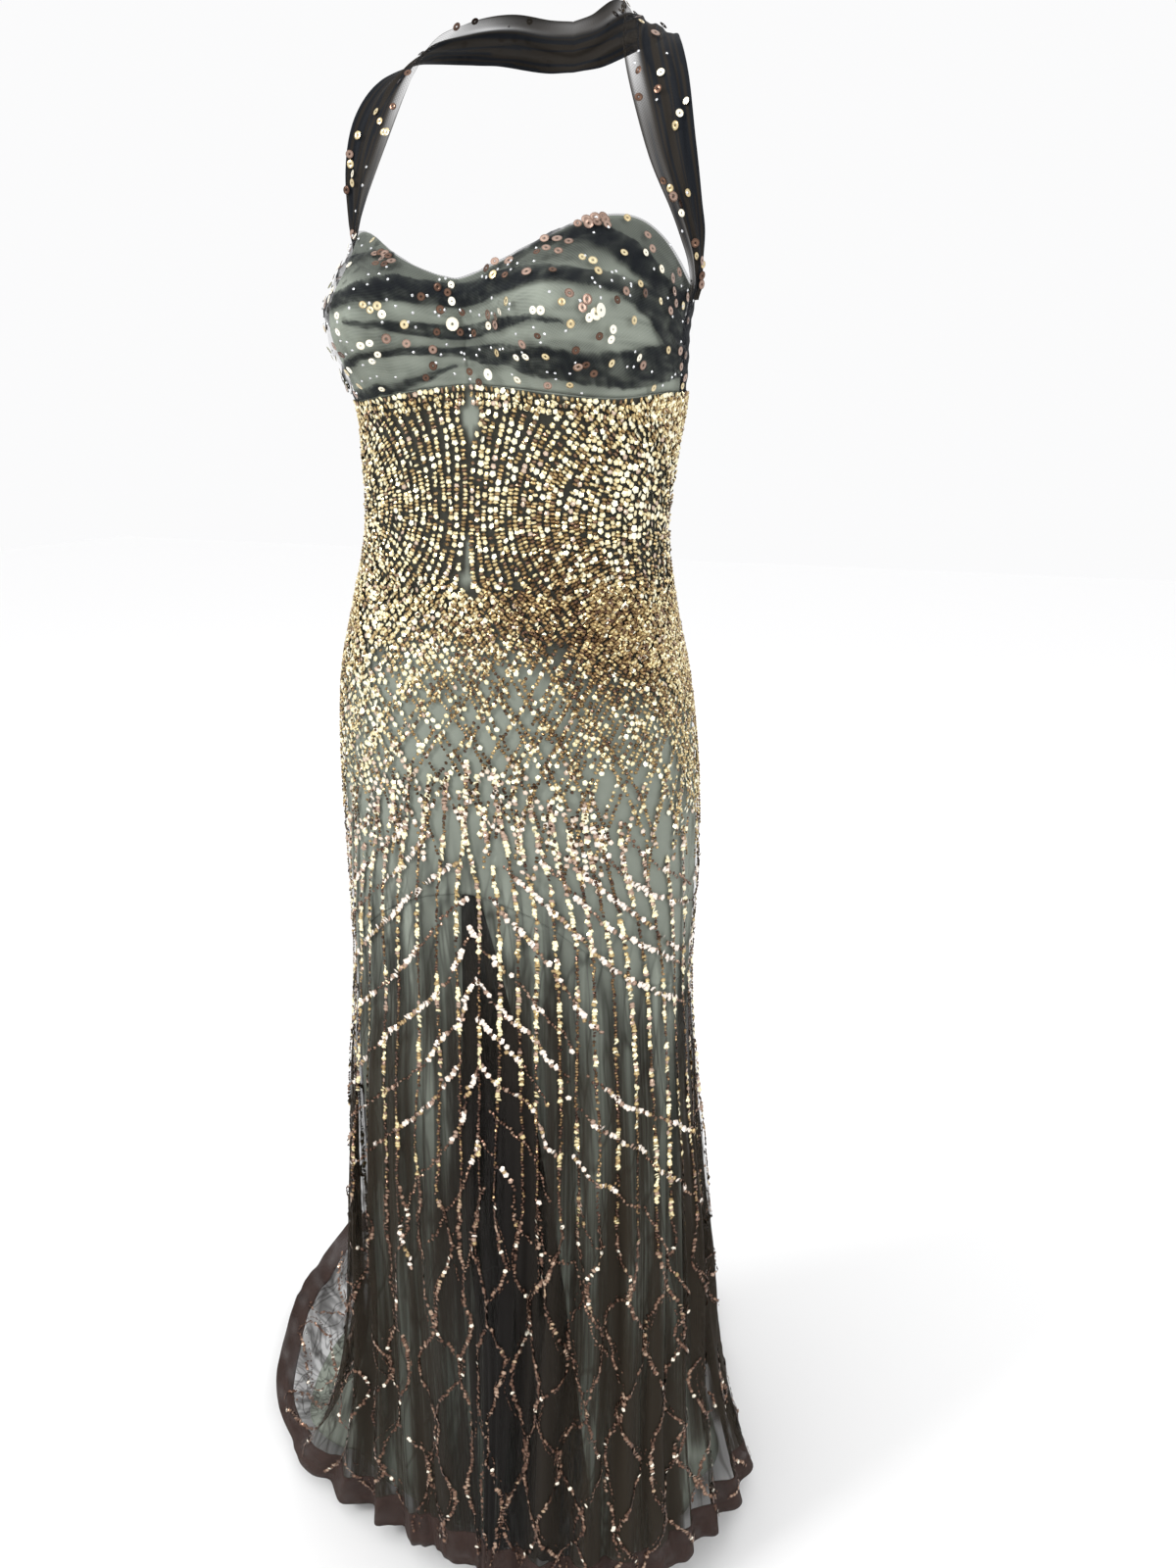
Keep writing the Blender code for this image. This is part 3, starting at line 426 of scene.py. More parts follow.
def skirt(degrees, level):
    """The gown below the bust: the figure to the thigh seam, then a fall that sweeps to the hem.

    Below the arch the height falls as a power of what is left of the way, and the sideways sweep
    to the hem grows as a power of the way done.
    """
    level = np.asarray(level, float) + 0 * np.asarray(degrees, float)
    high = column(BUST_SEAM, 1, from_front(degrees))
    arch = column(THIGH_SEAM, 1, from_front(degrees))
    upper = torso(degrees, high + (arch - high) * np.clip(level, 0.0, 1.0))
    fall = np.clip(level - 1.0, 0.0, 1.0)
    hem, sweep, pace = pace_of(degrees)
    lower = torso(degrees, hem[..., 2] + (arch - hem[..., 2]) * (1.0 - fall) ** pace)
    lower[..., :2] += sweep * (fall ** column_round(HEM, 4, degrees))[..., None]
    return np.where((level > 1.0)[..., None], lower, upper)


def normals_of(points):
    """Unit normals of a grid of points, from the cross product of its two central steps."""
    down = np.gradient(points, axis=0)
    across = np.gradient(points, axis=1)
    return unit(np.cross(down, across))


def wave(degrees, folds, shift):
    """Uneven folds round the gown, from -1 to 1: a cosine whose spacing and height drift."""
    turn = np.radians(degrees)
    phase = folds * turn + 2 * math.pi * FOLD_DRIFT * np.sin(3 * turn + shift)
    return np.cos(phase) * (FOLD_EVENNESS + (1 - FOLD_EVENNESS) * np.sin(5 * turn + 2 * shift))


def share_table():
    """Degrees against q, so that q is even along the arc half way down and at the thigh seam."""
    degrees = np.linspace(90.0, 450.0, 1441)
    arc = np.zeros_like(degrees)
    for level in (0.4, 1.0, 1.5):
        ring = skirt(degrees, level)
        arc[1:] += np.linalg.norm(np.diff(ring, axis=0), axis=-1).cumsum()
    back = np.searchsorted(degrees, (180.0, 270.0, 360.0))
    keys = np.concatenate([[0.0], arc[back], [arc[-1]]])
    return degrees, np.interp(arc, keys, (-2.0, -1.0, 0.0, 1.0, 2.0))


DEGREES, SHARES = share_table()


def degrees_at(q):
    """Degrees round the body at q."""
    return np.interp(q, SHARES, DEGREES)


def sample(grid, q, level):
    """A grid's value at q and level, linear between its four nearest points."""
    across = (np.asarray(q, float) + 2.0) / 4.0 * (grid.shape[1] - 1)
    down = np.asarray(level, float) / 2.0 * (grid.shape[0] - 1)
    i = np.clip(down.astype(int), 0, grid.shape[0] - 2)
    j = np.clip(across.astype(int), 0, grid.shape[1] - 2)
    s = np.clip(down - i, 0.0, 1.0)
    t = np.clip(across - j, 0.0, 1.0)
    if grid.ndim == 3:
        s = s[..., None]
        t = t[..., None]
    top = grid[i, j] * (1 - t) + grid[i, j + 1] * t
    low = grid[i + 1, j] * (1 - t) + grid[i + 1, j + 1] * t
    return top * (1 - s) + low * s


def noise(x, y, seed):
    """Smooth noise from -1 to 1: random values on a whole-number grid, eased between."""
    table = np.random.default_rng(seed).uniform(-1.0, 1.0, (128, 128))
    i = np.floor(x).astype(int)
    j = np.floor(y).astype(int)
    s = ease(x - i, 0.0, 1.0)
    t = ease(y - j, 0.0, 1.0)
    low, high = (
        table[i % 128, k % 128] * (1 - s) + table[(i + 1) % 128, k % 128] * s for k in (j, j + 1)
    )
    return low * (1 - t) + high * t


def grid_of(start, end, first, last, columns, rows):
    """Places on a panel: q from start to end and level from first to last, in even steps."""
    return np.meshgrid(np.linspace(start, end, columns), np.linspace(first, last, rows))


# The whole gown below the bust on one grid: its smooth body, and the satin's and net's places by it.
GRID_Q, GRID_LEVEL = grid_of(-2.0, 2.0, 0.0, 2.0, 1201, 401)
GRID_DEGREES = degrees_at(GRID_Q)
BODY = skirt(GRID_DEGREES, GRID_LEVEL)
OUT = normals_of(BODY)
FALL = np.clip(GRID_LEVEL - 1.0, 0.0, 1.0)
FLAT = ease(OUT[..., 2], *FLOOR_TILT) * (1.0 - ease(BODY[..., 2], *FLOOR_REACH))


def gathers():
    """The net's close gathers, in metres: two sets of ripples whose spacing drifts down the fall."""
    turn = GRID_Q * math.pi / 2
    drift = 2.2 * noise(GRID_Q * 5 + 40, GRID_LEVEL * 2.2, 3)
    close = np.cos(104 * turn + 3 * drift) * (0.6 + 0.4 * noise(GRID_Q * 16 + 40, GRID_LEVEL * 3, 5))
    wide = np.cos(61 * turn + 5 * drift + 1.0)
    crumple = np.maximum(0.0, noise(GRID_Q * 26 + 60, GRID_LEVEL * 44, 7)) * FLAT
    crumple = crumple + np.maximum(0.0, noise(GRID_Q * 11 + 60, GRID_LEVEL * 90, 8)) * FLAT
    return (0.0011 * close + 0.0012 * wide) * ease(FALL, 0.02, 0.5) + 0.0028 * crumple


GATHERS = gathers()
NET_OUT = (
    ease(FALL, 0.0, 0.55) * (NET_FOLD_DEPTH * (1 - FLAT) + NET_FLOOR_DEPTH * FLAT)
    * (1 + wave(GRID_DEGREES, NET_FOLDS, NET_SHIFT)) - BEAD_ROOM - WALL / 2 + GATHERS
)
NET = BODY + OUT * NET_OUT[..., None]
NET_NORMAL = normals_of(NET)
INSET = SATIN_DEPTH + ease(FALL, 0.0, 0.22) * (
    FLOUNCE_INSET * (1 - FLAT) + FLOUNCE_FLOOR_INSET * FLAT
)


def level_at(q, height):
    """The level of a height on the upright part of the gown."""
    degrees = degrees_at(q)
    high = column(BUST_SEAM, 1, from_front(degrees))
    arch = column(THIGH_SEAM, 1, from_front(degrees))
    hem, _, pace = pace_of(degrees)
    left = np.clip((height - hem[..., 2]) / (arch - hem[..., 2]), 0.0, 1.0)
    return np.where(height > arch, (high - height) / (high - arch), 2.0 - left ** (1.0 / pace))


class Sock:
    """A node's output, on which arithmetic adds Math nodes."""

    def __init__(self, tree, socket):
        self.tree = tree
        self.socket = socket

    def math(self, operation, *others):
        """A Math node over this value and others, which may be numbers."""
        node = self.tree.nodes.new("ShaderNodeMath")
        node.operation = operation
        for place, value in zip(node.inputs, (self, *others)):
            feed(self.tree, place, value)
        return Sock(self.tree, node.outputs[0])

    def __add__(self, other):
        return self.math("ADD", other)

    def __sub__(self, other):
        return self.math("SUBTRACT", other)

    def __rsub__(self, other):
        return (self * -1.0).math("ADD", other)

    def __mul__(self, other):
        return self.math("MULTIPLY", other)

    def __pow__(self, other):
        return self.math("POWER", other)

    __radd__ = __add__
    __rmul__ = __mul__


def feed(tree, place, value):
    """Links a Sock to an input, or sets the input to a plain value, which is opaque if a colour."""
    if isinstance(value, Sock):
        tree.links.new(value.socket, place)
    else:
        place.default_value = (*value, 1.0) if place.type == "RGBA" else value


class Finish:
    """One material: its Principled shader, and the nodes that are added to it."""

    def __init__(self, name, **constants):
        self.material = bpy.data.materials.new(name)
        self.material.use_nodes = True
        self.tree = self.material.node_tree
        self.shader = self.tree.nodes["Principled BSDF"]
        for label, value in constants.items():
            self.shader.inputs[label.replace("_", " ")].default_value = value

    def node(self, kind, settings=(), output=0, **links):
        """One output of a new node: first its settings, then its inputs by name, or number as in i6."""
        node = self.tree.nodes.new(kind)
        for label, value in dict(settings).items():
            if label == "stops":
                while len(node.color_ramp.elements) < len(value):
                    node.color_ramp.elements.new(1.0)
                for stop, (place, colour) in zip(node.color_ramp.elements, value):
                    stop.position = place
                    stop.color = (*colour, 1.0)
            else:
                setattr(node, label, value)
        for label, value in links.items():
            feed(self.tree, node.inputs[int(label[1:]) if label[1:].isdigit() else label], value)
        return Sock(self.tree, node.outputs[output])

    def places(self, scale, source="UV", turn=0.0):
        """The piece's own coordinates, turned in their plane, then scaled along each axis."""
        where = self.node("ShaderNodeTexCoord", output={"UV": 2, "Object": 3}[source])
        if turn:
            where = self.node("ShaderNodeMapping", Vector=where, Rotation=(0.0, 0.0, turn))
        return self.node("ShaderNodeMapping", Vector=where, Scale=scale)

    def noise(self, scale, detail=2.0, source="UV", turn=0.0):
        """A noise value from 0 to 1 over stretched coordinates."""
        where = self.places(scale, source, turn)
        return self.node("ShaderNodeTexNoise", Vector=where, Scale=1.0, Detail=detail)

    def creases(self, scale, turn, sharp):
        """Thin lines, 1 in their middle, where a noise passes through its mean."""
        away = (self.noise(scale, 2.0, "UV", turn) - 0.5).math("ABSOLUTE")
        return (1.0 - away * sharp).math("MAXIMUM", 0.0)

    def attribute(self, name):
        """A number that is stored on the piece's points."""
        return self.node("ShaderNodeAttribute", {"attribute_name": name}, output=2)

    def ramp(self, value, stops):
        """A colour ramp over a value."""
        return self.node("ShaderNodeValToRGB", {"stops": stops}, Fac=value)

    def mix(self, share, first, second):
        """A colour between two others."""
        return self.node("ShaderNodeMix", {"data_type": "RGBA"}, 2, i0=share, i6=first, i7=second)

    def set(self, label, value):
        """Feeds one input of the shader."""
        feed(self.tree, self.shader.inputs[label], value)

    def bump(self, height, distance):
        """Raises the surface by a height value."""
        self.set("Normal", self.node("ShaderNodeBump", Height=height, Distance=distance, Strength=1.0))


def scaled(colour, share):
    """A colour made darker or lighter by a share."""
    return tuple(min(1.0, share * part) for part in colour)


def threads(finish, pitch):
    """Two crossing sets of fine threads on the piece's own coordinates, from 0 to 1."""
    where = finish.places((1.0, 1.0, 1.0))
    u, v = (finish.node("ShaderNodeSeparateXYZ", output=axis, Vector=where) for axis in (0, 1))
    turn = 2 * math.pi / pitch
    return (u * turn).math("SINE") * (v * turn).math("SINE") * 0.5 + 0.5


def satin_finish(name, light):
    """Satin: soft sheen, crosswise slubs, small creases, and a painted highlight, a paler line, along
    the raised ridge where a seam is marked.
    """
    finish = Finish(name, Specular_IOR_Level=0.5)
    cloudy = finish.noise((9.0, 5.0, 1.0), 3.0)
    slub = finish.noise((900.0, 120.0, 1.0), 1.0)
    crease = finish.noise((26.0, 9.0, 1.0), 4.0)
    seam = finish.attribute("seam")
    colour = finish.mix(cloudy.math("MULTIPLY_ADD", 1.6, -0.3), scaled(light, 0.84), light)
    # Painted highlight: where a seam is marked the satin is painted paler, for the light on its raised
    # ridge.
    finish.set("Base Color", finish.mix(seam * 0.55, colour, scaled(light, 1.5)))
    finish.set("Roughness", cloudy * 0.16 + slub * 0.06 + 0.26)
    finish.bump(crease + slub * 0.04 + seam * 0.25, 0.0035)
    return finish.material


def net_finish(name, first, second, sheer, streaks=0.0, pitch=0.0021):
    """Fine net: fine threads, more cover where it lies in several layers and where painted shade is
    stored as more layers, and drawn-in streaks.

    The cover is one less what gets through: the clear share of the top layer at each thread, times
    the mean clear share to the power of the number of layers below it.
    """
    finish = Finish(name, Roughness=0.70, Specular_IOR_Level=0.08)
    # The layers that a piece stores also hold its painted shade, as extra layers where shade falls.
    layers = finish.attribute("layers")
    mottled = finish.noise((14.0, 9.0, 1.0), 2.0)
    tone = finish.attribute("tone") * 0.85 + mottled * 0.15
    finish.set("Base Color", finish.mix(tone, first, second))
    mesh = threads(finish, pitch)
    if streaks:
        gather = finish.attribute("gather")
        fine = finish.noise((380.0, 7.0, 1.0), 2.0)
        broad = finish.noise((80.0, 3.4, 1.0), 3.0)
        wide = finish.noise((30.0, 2.4, 1.0), 1.0)
        drawn = (fine * 0.16 + broad * 0.42 + wide * 0.42).math("MULTIPLY_ADD", 8.0, -4.0)
        layers = layers * (1.0 + gather * drawn * streaks).math("MAXIMUM", 0.14)
        folds = finish.creases((52.0, 5.5, 1.0), 0.10, 22.0)
        folds = folds + finish.creases((34.0, 7.0, 1.0), -0.16, 30.0)
        crumpled = finish.creases((15.0, 24.0, 1.0), 0.4, 48.0)
        crumpled = crumpled + finish.creases((10.0, 30.0, 1.0), 0.9, 56.0)
        layers = layers + gather * folds * 1.9 + finish.attribute("crinkle") * crumpled * 2.6
    clear = (mesh * 0.40 + (1.0 - sheer) - 0.20).math("MAXIMUM", 0.02)
    below = ((layers - 1.0).math("MAXIMUM", 0.0) * math.log(1.0 - sheer)).math("EXPONENT")
    finish.set("Alpha", 1.0 - clear ** layers.math("MINIMUM", 1.0) * below)
    finish.bump(mesh * 0.2 + mottled, 0.0006)
    return finish.material


def bead_finish(name):
    """Metallic beads: dark bronze through copper and gold to pale gold by tint, or pinkish ones."""
    finish = Finish(name, Specular_IOR_Level=0.6)
    tint = finish.attribute("tint")
    flecks = finish.noise((260.0, 260.0, 260.0), 1.0, "Object")
    gold = finish.ramp(tint + flecks * 0.10 - 0.05, GOLD_STOPS)
    finish.set("Base Color", finish.mix(finish.attribute("pink"), gold, finish.ramp(tint, PINK_STOPS)))
    finish.set("Metallic", 0.92 - tint * 0.22)
    finish.set("Roughness", flecks * 0.2 + 0.14)
    return finish.material


def plain_finish(name, colour, roughness, grain, metallic=0.0):
    """A plain finish with a fine grain in its colour and relief."""
    finish = Finish(name, Metallic=metallic)
    grains = finish.noise((grain, grain, grain), 2.0, "Object")
    finish.set("Base Color", finish.mix(grains, scaled(colour, 0.7), colour))
    finish.set("Roughness", grains * 0.15 + roughness)
    finish.bump(grains, 0.0004)
    return finish.material


def quads(rows, columns):
    """The faces of a grid of points, which look outwards where rows run down and columns to +q."""
    at = np.arange(rows * columns).reshape(rows, columns)
    return np.stack([at[:-1, :-1], at[1:, :-1], at[1:, 1:], at[:-1, 1:]], axis=-1).reshape(-1, 4)


def make_mesh(name, points, faces, smooth_faces=True):
    """A mesh object from an array of points over the floor and an array of faces of one size."""
    mesh = bpy.data.meshes.new(name)
    mesh.vertices.add(len(points))
    mesh.vertices.foreach_set("co", (points - NAPE).astype(np.float32).ravel())
    mesh.loops.add(faces.size)
    mesh.loops.foreach_set("vertex_index", faces.astype(np.int32).ravel())
    mesh.polygons.add(len(faces))
    mesh.polygons.foreach_set("loop_start", np.arange(0, faces.size, faces.shape[1], dtype=np.int32))
    mesh.polygons.foreach_set("use_smooth", np.full(len(faces), smooth_faces))
    mesh.update(calc_edges=True)
    piece = bpy.data.objects.new(name, mesh)
    bpy.context.scene.collection.objects.link(piece)
    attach(piece, "root")
    return piece


def add_attribute(piece, name, values):
    """Stores one number for each point of a piece."""
    stored = piece.data.attributes.new(name, "FLOAT", "POINT")
    stored.data.foreach_set("value", np.asarray(values, np.float32).ravel())


def add_cloth(name, points, look, node, held, rests_on, wall=0.0, extra=SEAM_ALLOWANCE, **attributes):
    """A cloth from a grid of points, rows from top to bottom and columns from -q to +q.

    The look is its material and slot, and the slot is not used; the node is the solid that it stands in
    for.  Its own coordinates are lengths in metres along its middle row and down its columns.  A wall
    is added on the inner side.  Its greatest width and length here and its area are worked out.
    """
    rows, columns = points.shape[:2]
    faces = quads(rows, columns)
    piece = make_mesh(name, points.reshape(-1, 3), faces)
    wide = np.linalg.norm(np.diff(points, axis=1), axis=-1)
    tall = np.linalg.norm(np.diff(points, axis=0), axis=-1)
    u = np.concatenate([[0.0], wide[rows // 2].cumsum()])
    v = np.concatenate([np.zeros((1, columns)), tall.cumsum(axis=0)])
    u = np.broadcast_to(u - u.mean(), (rows, columns))
    laid = np.stack([u, v], -1).reshape(-1, 2)[faces.ravel()]
    piece.data.uv_layers.new(name="cloth").data.foreach_set("uv", laid.astype(np.float32).ravel())
    for label, values in attributes.items():
        add_attribute(piece, label, np.broadcast_to(values, (rows, columns)))
    piece.data.materials.append(look[0])
    if wall:
        inner = piece.modifiers.new("Wall", "SOLIDIFY")
        inner.thickness = wall
        inner.offset = -1.0
    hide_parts(node)
    width = float(wide.sum(axis=1).max()) + extra
    length = float(tall.sum(axis=0).max()) + extra
    down, across = np.diff(points, axis=0)[:, :-1], np.diff(points, axis=1)[:-1]
    area = float(np.linalg.norm(np.cross(down, across), axis=-1).sum()) * CUT_SHARE
    area = round(min(area, width * length), 4)


def inside_body(q, level, inset):
    """Points at a distance inside the gown's smooth surface."""
    return sample(BODY, q, level) - sample(OUT, q, level) * inset[..., None]


def add_linings(finish):
    """Satin from the bust seam to the thigh seam: the body's surface less the inset, with strains.

    Strain creases run across the hips and the belly, up to 0.5 mm deep.  The lower edge is turned
    over the flounce in a narrow raised seam.
    """
    rows = np.r_[np.linspace(0.0, 0.982, 72), 0.986, 0.990, 0.993, 0.996, 0.999, 1.0025]
    for part, start, end, wide in PANELS:
        q, level = np.meshgrid(np.linspace(start, end, 56 * wide), rows)
        crease = noise(q * 5 + 30, level * 26 + 2 * np.sin(q * 3), 11)
        crease = crease * noise(q * 3 + 30, level * 7, 12)
        # The turned lower edge is raised, and painted paler along it: a painted highlight on the seam.
        seam = ease(level, 0.988, 0.994)
        inset = sample(INSET, q, level) + 0.0005 * crease - 0.0005 * seam
        points = inside_body(q, level, inset)
        rests_on = ["satin_bust_" + ("left" if part == "back_left" else "right")]
        add_cloth(
            "satin_lining_" + part, points, (finish, "satin"), "lining_" + part, "hung", rests_on,
            SATIN_WALL, seam=seam,
        )


def edge_q(edge, fall):
    """One edge of a panel as q: a fixed one, or the godet's edge at some ways down the fall."""
    if edge not in GODET_EDGES:
        return edge
    return np.interp(column(GODET, GODET_EDGES[edge], fall), DEGREES, SHARES)


def flounce_places(first, last, columns, rows):
    """A panel below the thigh seam: shares of its length and width, q, degrees and level."""
    along, share = np.meshgrid(np.linspace(0.0, 1.0, columns), np.linspace(0.0, 1.0, rows))
    left = edge_q(first, share * FRONT_END)
    q = left + (edge_q(last, share * FRONT_END) - left) * along
    degrees = degrees_at(q)
    return share, along, q, degrees, 1.001 + (column_round(FLOUNCE_END, 1, degrees) - 0.001) * share


def add_flounces(finish):
    """The four satin panels below the thigh seam, each with a narrow hem.

    Their folds are a drifting cosine that dies out at the godet.  Fine creases are noise stretched
    down the fall, with crumples at the foot.
    """
    for name, first, last, columns in FLOUNCES:
        share, _, q, degrees, level = flounce_places(first, last, columns, 104)
        fall = level - 1.0
        start = column(GODET, 1, fall)
        wide = column(GODET, 2, fall) - start
        across = (np.mod(degrees, 360.0) - start) / wide
        away = np.maximum(-across, across - 1.0) * wide
        deep = FLOUNCE_FOLD_DEPTH * (1 - 0.75 * sample(FLAT, q, level))
        deep = deep * ease(fall, 0.05, 0.6) * ease(away, 1.0, 12.0)
        inset = sample(INSET, q, level) + deep * (1 - wave(degrees, FLOUNCE_FOLDS, FLOUNCE_SHIFT))
        fine = 0.0009 * noise(q * 22 + 50, fall * 7, 22) * ease(fall, 0.02, 0.3)
        fine = fine + 0.0018 * (1 + noise(q * 15 + 50, fall * 34 + q * 9, 23)) * ease(fall, 0.78, 0.92)
        points = inside_body(q, level, inset + fine)
        # The top edge and the hem are marked as seams: raised, and painted paler along them as a
        # painted highlight.
        seam = np.maximum(ease(share, 0.010, 0.004), ease(share, 0.984, 0.990) * 0.7)
        add_cloth(
            "satin_" + name, points, (finish, "satin"), name, "hung", ["satin_lining_front"],
            SATIN_WALL, seam=seam,
        )


def add_godet(finish):
    """The net godet in plain cosine folds: several layers at its right edge, one at its lower left."""
    share, along, q, _, level = flounce_places("godet right", "godet left", 90, 110)
    fall = level - 1.0
    ripple = 0.5 - 0.5 * np.cos(2 * math.pi * GODET_FOLDS * along)
    inset = sample(INSET, q, level) + ease(fall, 0.0, 0.4) * GODET_FOLD_DEPTH * ripple
    points = inside_body(q, level, inset + 0.0006 * noise(along * 60 + 10, fall * 9, 21))
    layers = 4.0 - 2.6 * ease(along, 0.55, 0.9) * ease(share, 0.55, 0.9)
    tone = ease(share, 0.0, 0.24) * ease(along, -0.5, 0.4)
    add_cloth(
        "net_godet_front", points, (finish, "dark_net"), "godet_front", "gathered",
        ["satin_lining_front"], layers=layers, tone=tone, gather=0.3, crinkle=0.0,
    )


def band_start(q):
    """The level where the hem band begins, so that it is as wide all round."""
    degrees = degrees_at(q)
    length = np.linalg.norm(skirt(degrees, 2.0) - skirt(degrees, 1.97), axis=-1)
    return 2.0 - BAND_WIDTH * 0.03 / length


def net_layers_and_shade(q, level):
    """How many layers of net lie over a place: under one on the hips, more in the gathers below.

    They are most at the side seams and at the centre front below the thighs, where the many added
    layers are painted shade between the legs, and fewest at the openings and thin places.
    """
    fall = np.clip(level - 1.0, 0.0, 1.0)
    flat = sample(FLAT, q, level)
    near = fronted(q)
    gathered = 0.8 + 1.25 * ease(fall, 0.0, 0.20) + 2.2 * ease(fall, 0.12, 0.50)
    # Painted shade: many more layers at the centre front below the thighs, darker there for the shade
    # between the legs.
    centre = 3.5 * hump(near, 0.14, 0.24) * ease(fall, 0.04, 0.30)
    sides = 1.6 * hump(np.abs(near), 0.97, 0.12) * ease(level, 0.96, 1.06) * ease(level, 1.5, 1.3)
    sides = sides + 1.3 * hump(near, 0.70, 0.17) * ease(level, 0.98, 1.10)
    height = sample(BODY[..., 2], q, level)
    opening = np.zeros_like(level)
    for at, middle, wide, tall in STRING_GAPS:
        away = np.abs(near - at) / wide + np.abs(height - middle) / tall
        opening = np.maximum(opening, ease(away, 1.35, 0.95))
    # Up at the waist the net gets nearly three layers more: partly a darker net, partly painted shade
    # in the gaps between the bead strings.
    upper = 0.4 + 2.9 * ease(level, 0.53, 0.37) * (1 - opening) + 0.3 * ease(level, 0.8, 1.0)
    layers = np.where(level > 1.0, gathered + centre, upper) + sides
    for at, wide, start in THIN_PLACES:
        thin = ease(np.abs(q - at), wide, wide * 0.6) * ease(fall, start, start + 0.05)
        layers = layers * (1 - thin) + 0.55 * thin
    return layers * (1 - flat) + 0.14 * flat


def add_nets(finish, band_finish):
    """The net from the bust seam to its band, in folds and gathers, and the band below it."""
    for part, start, end, wide in PANELS:
        columns = 128 * wide
        start_q = np.linspace(start, end, columns)
        edge = band_start(start_q)
        upper = np.tile(np.linspace(0.0, 1.0, 46)[:, None], (1, columns))
        level = np.concatenate([upper, 1.0 + (edge - 1.0) * np.linspace(0.0, 1.0, 126)[1:, None]])
        q = np.tile(start_q, (len(level), 1))
        points = sample(NET, q, level)
        flat = sample(FLAT, q, level)
        tone = np.maximum(ease(level, 0.9, 1.25), 0.8 * ease(level, 0.6, 0.4)) * (1 - 0.6 * flat)
        # Painted shade: the net is blacker at the centre front below the thighs, for the shade between
        # the legs.
        tone = tone * (1 - 0.85 * hump(q, 0.10, 0.24) * ease(level, 1.05, 1.3))
        add_cloth(
            "beaded_net_" + part, points, (finish, "beaded_net"), "net_" + part, "hung",
            ["satin_lining_" + part], layers=net_layers_and_shade(q, level), tone=tone,
            gather=ease(level, 0.80, 1.15), crinkle=flat,
        )
        level = edge + (2.0 - edge) * np.linspace(0.0, 1.0, 9)[:, None]
        q = np.tile(start_q, (len(level), 1))
        band = sample(NET, q, level)
        layers = 2.6 + 1.2 * noise(q * 40 + 90, level * 60, 24)
        add_cloth(
            "net_band_" + part, band, (band_finish, "hem_band"), "hem_band_" + part, "gathered",
            ["beaded_net_" + part], NET_WALL, layers=layers, tone=1.0,
        )


def cup_lift(q, level):
    """How far the ruched net stands proud, in metres: the crests of its slanting folds."""
    side = (q + 1.0) / 2.0
    rows = np.stack([smooth((0.0, 0.5, 1.0), row[:3], side) for row in BUST_ROWS])
    raised = [row[3] for row in BUST_ROWS]
    lift = np.zeros_like(level)
    for k in range(len(rows) - 1):
        inside = (level >= rows[k]) & (level <= rows[k + 1])
        share = ease(level, rows[k], rows[k + 1])
        lift = np.where(inside, raised[k] * (1 - share) + raised[k + 1] * share, lift)
    return lift


def lap_cover(degrees, level):
    """How far each place lies under the dark overlaps of the draped net, and their raised edges."""
    cover = np.zeros_like(level)
    for rows in BUST_LAPS:
        keys = [row[0] for row in rows]
        low = np.interp(degrees, keys, [row[1] for row in rows])
        high = np.interp(degrees, keys, [row[2] for row in rows])
        ragged = 0.008 * noise(degrees * 0.3, level * 0 + keys[0], 31)
        ragged = ragged + 0.005 * noise(degrees * 1.7, level * 30, 32)
        inside = ease(level, low - 0.008 + ragged, low + 0.008 + ragged)
        inside = inside * ease(level, high + 0.008 + ragged, high - 0.008 + ragged)
        inside = inside * (degrees >= keys[0]) * (degrees <= keys[-1])
        cover = np.maximum(cover, inside)
    return cover


def bust_normal(degrees, level):
    """Outward unit normals of the bust's smooth surface, from steps round it and up it."""
    across = bust(degrees + 0.5, level) - bust(degrees - 0.5, level)
    return unit(np.cross(across, bust(degrees, level + 0.005) - bust(degrees, level - 0.005)))


def bust_points(q, level, lift):
    """Points over the bust at a distance outside the figure's surface."""
    degrees = degrees_at(q)
    return bust(degrees, level) + bust_normal(degrees, level) * lift[..., None]


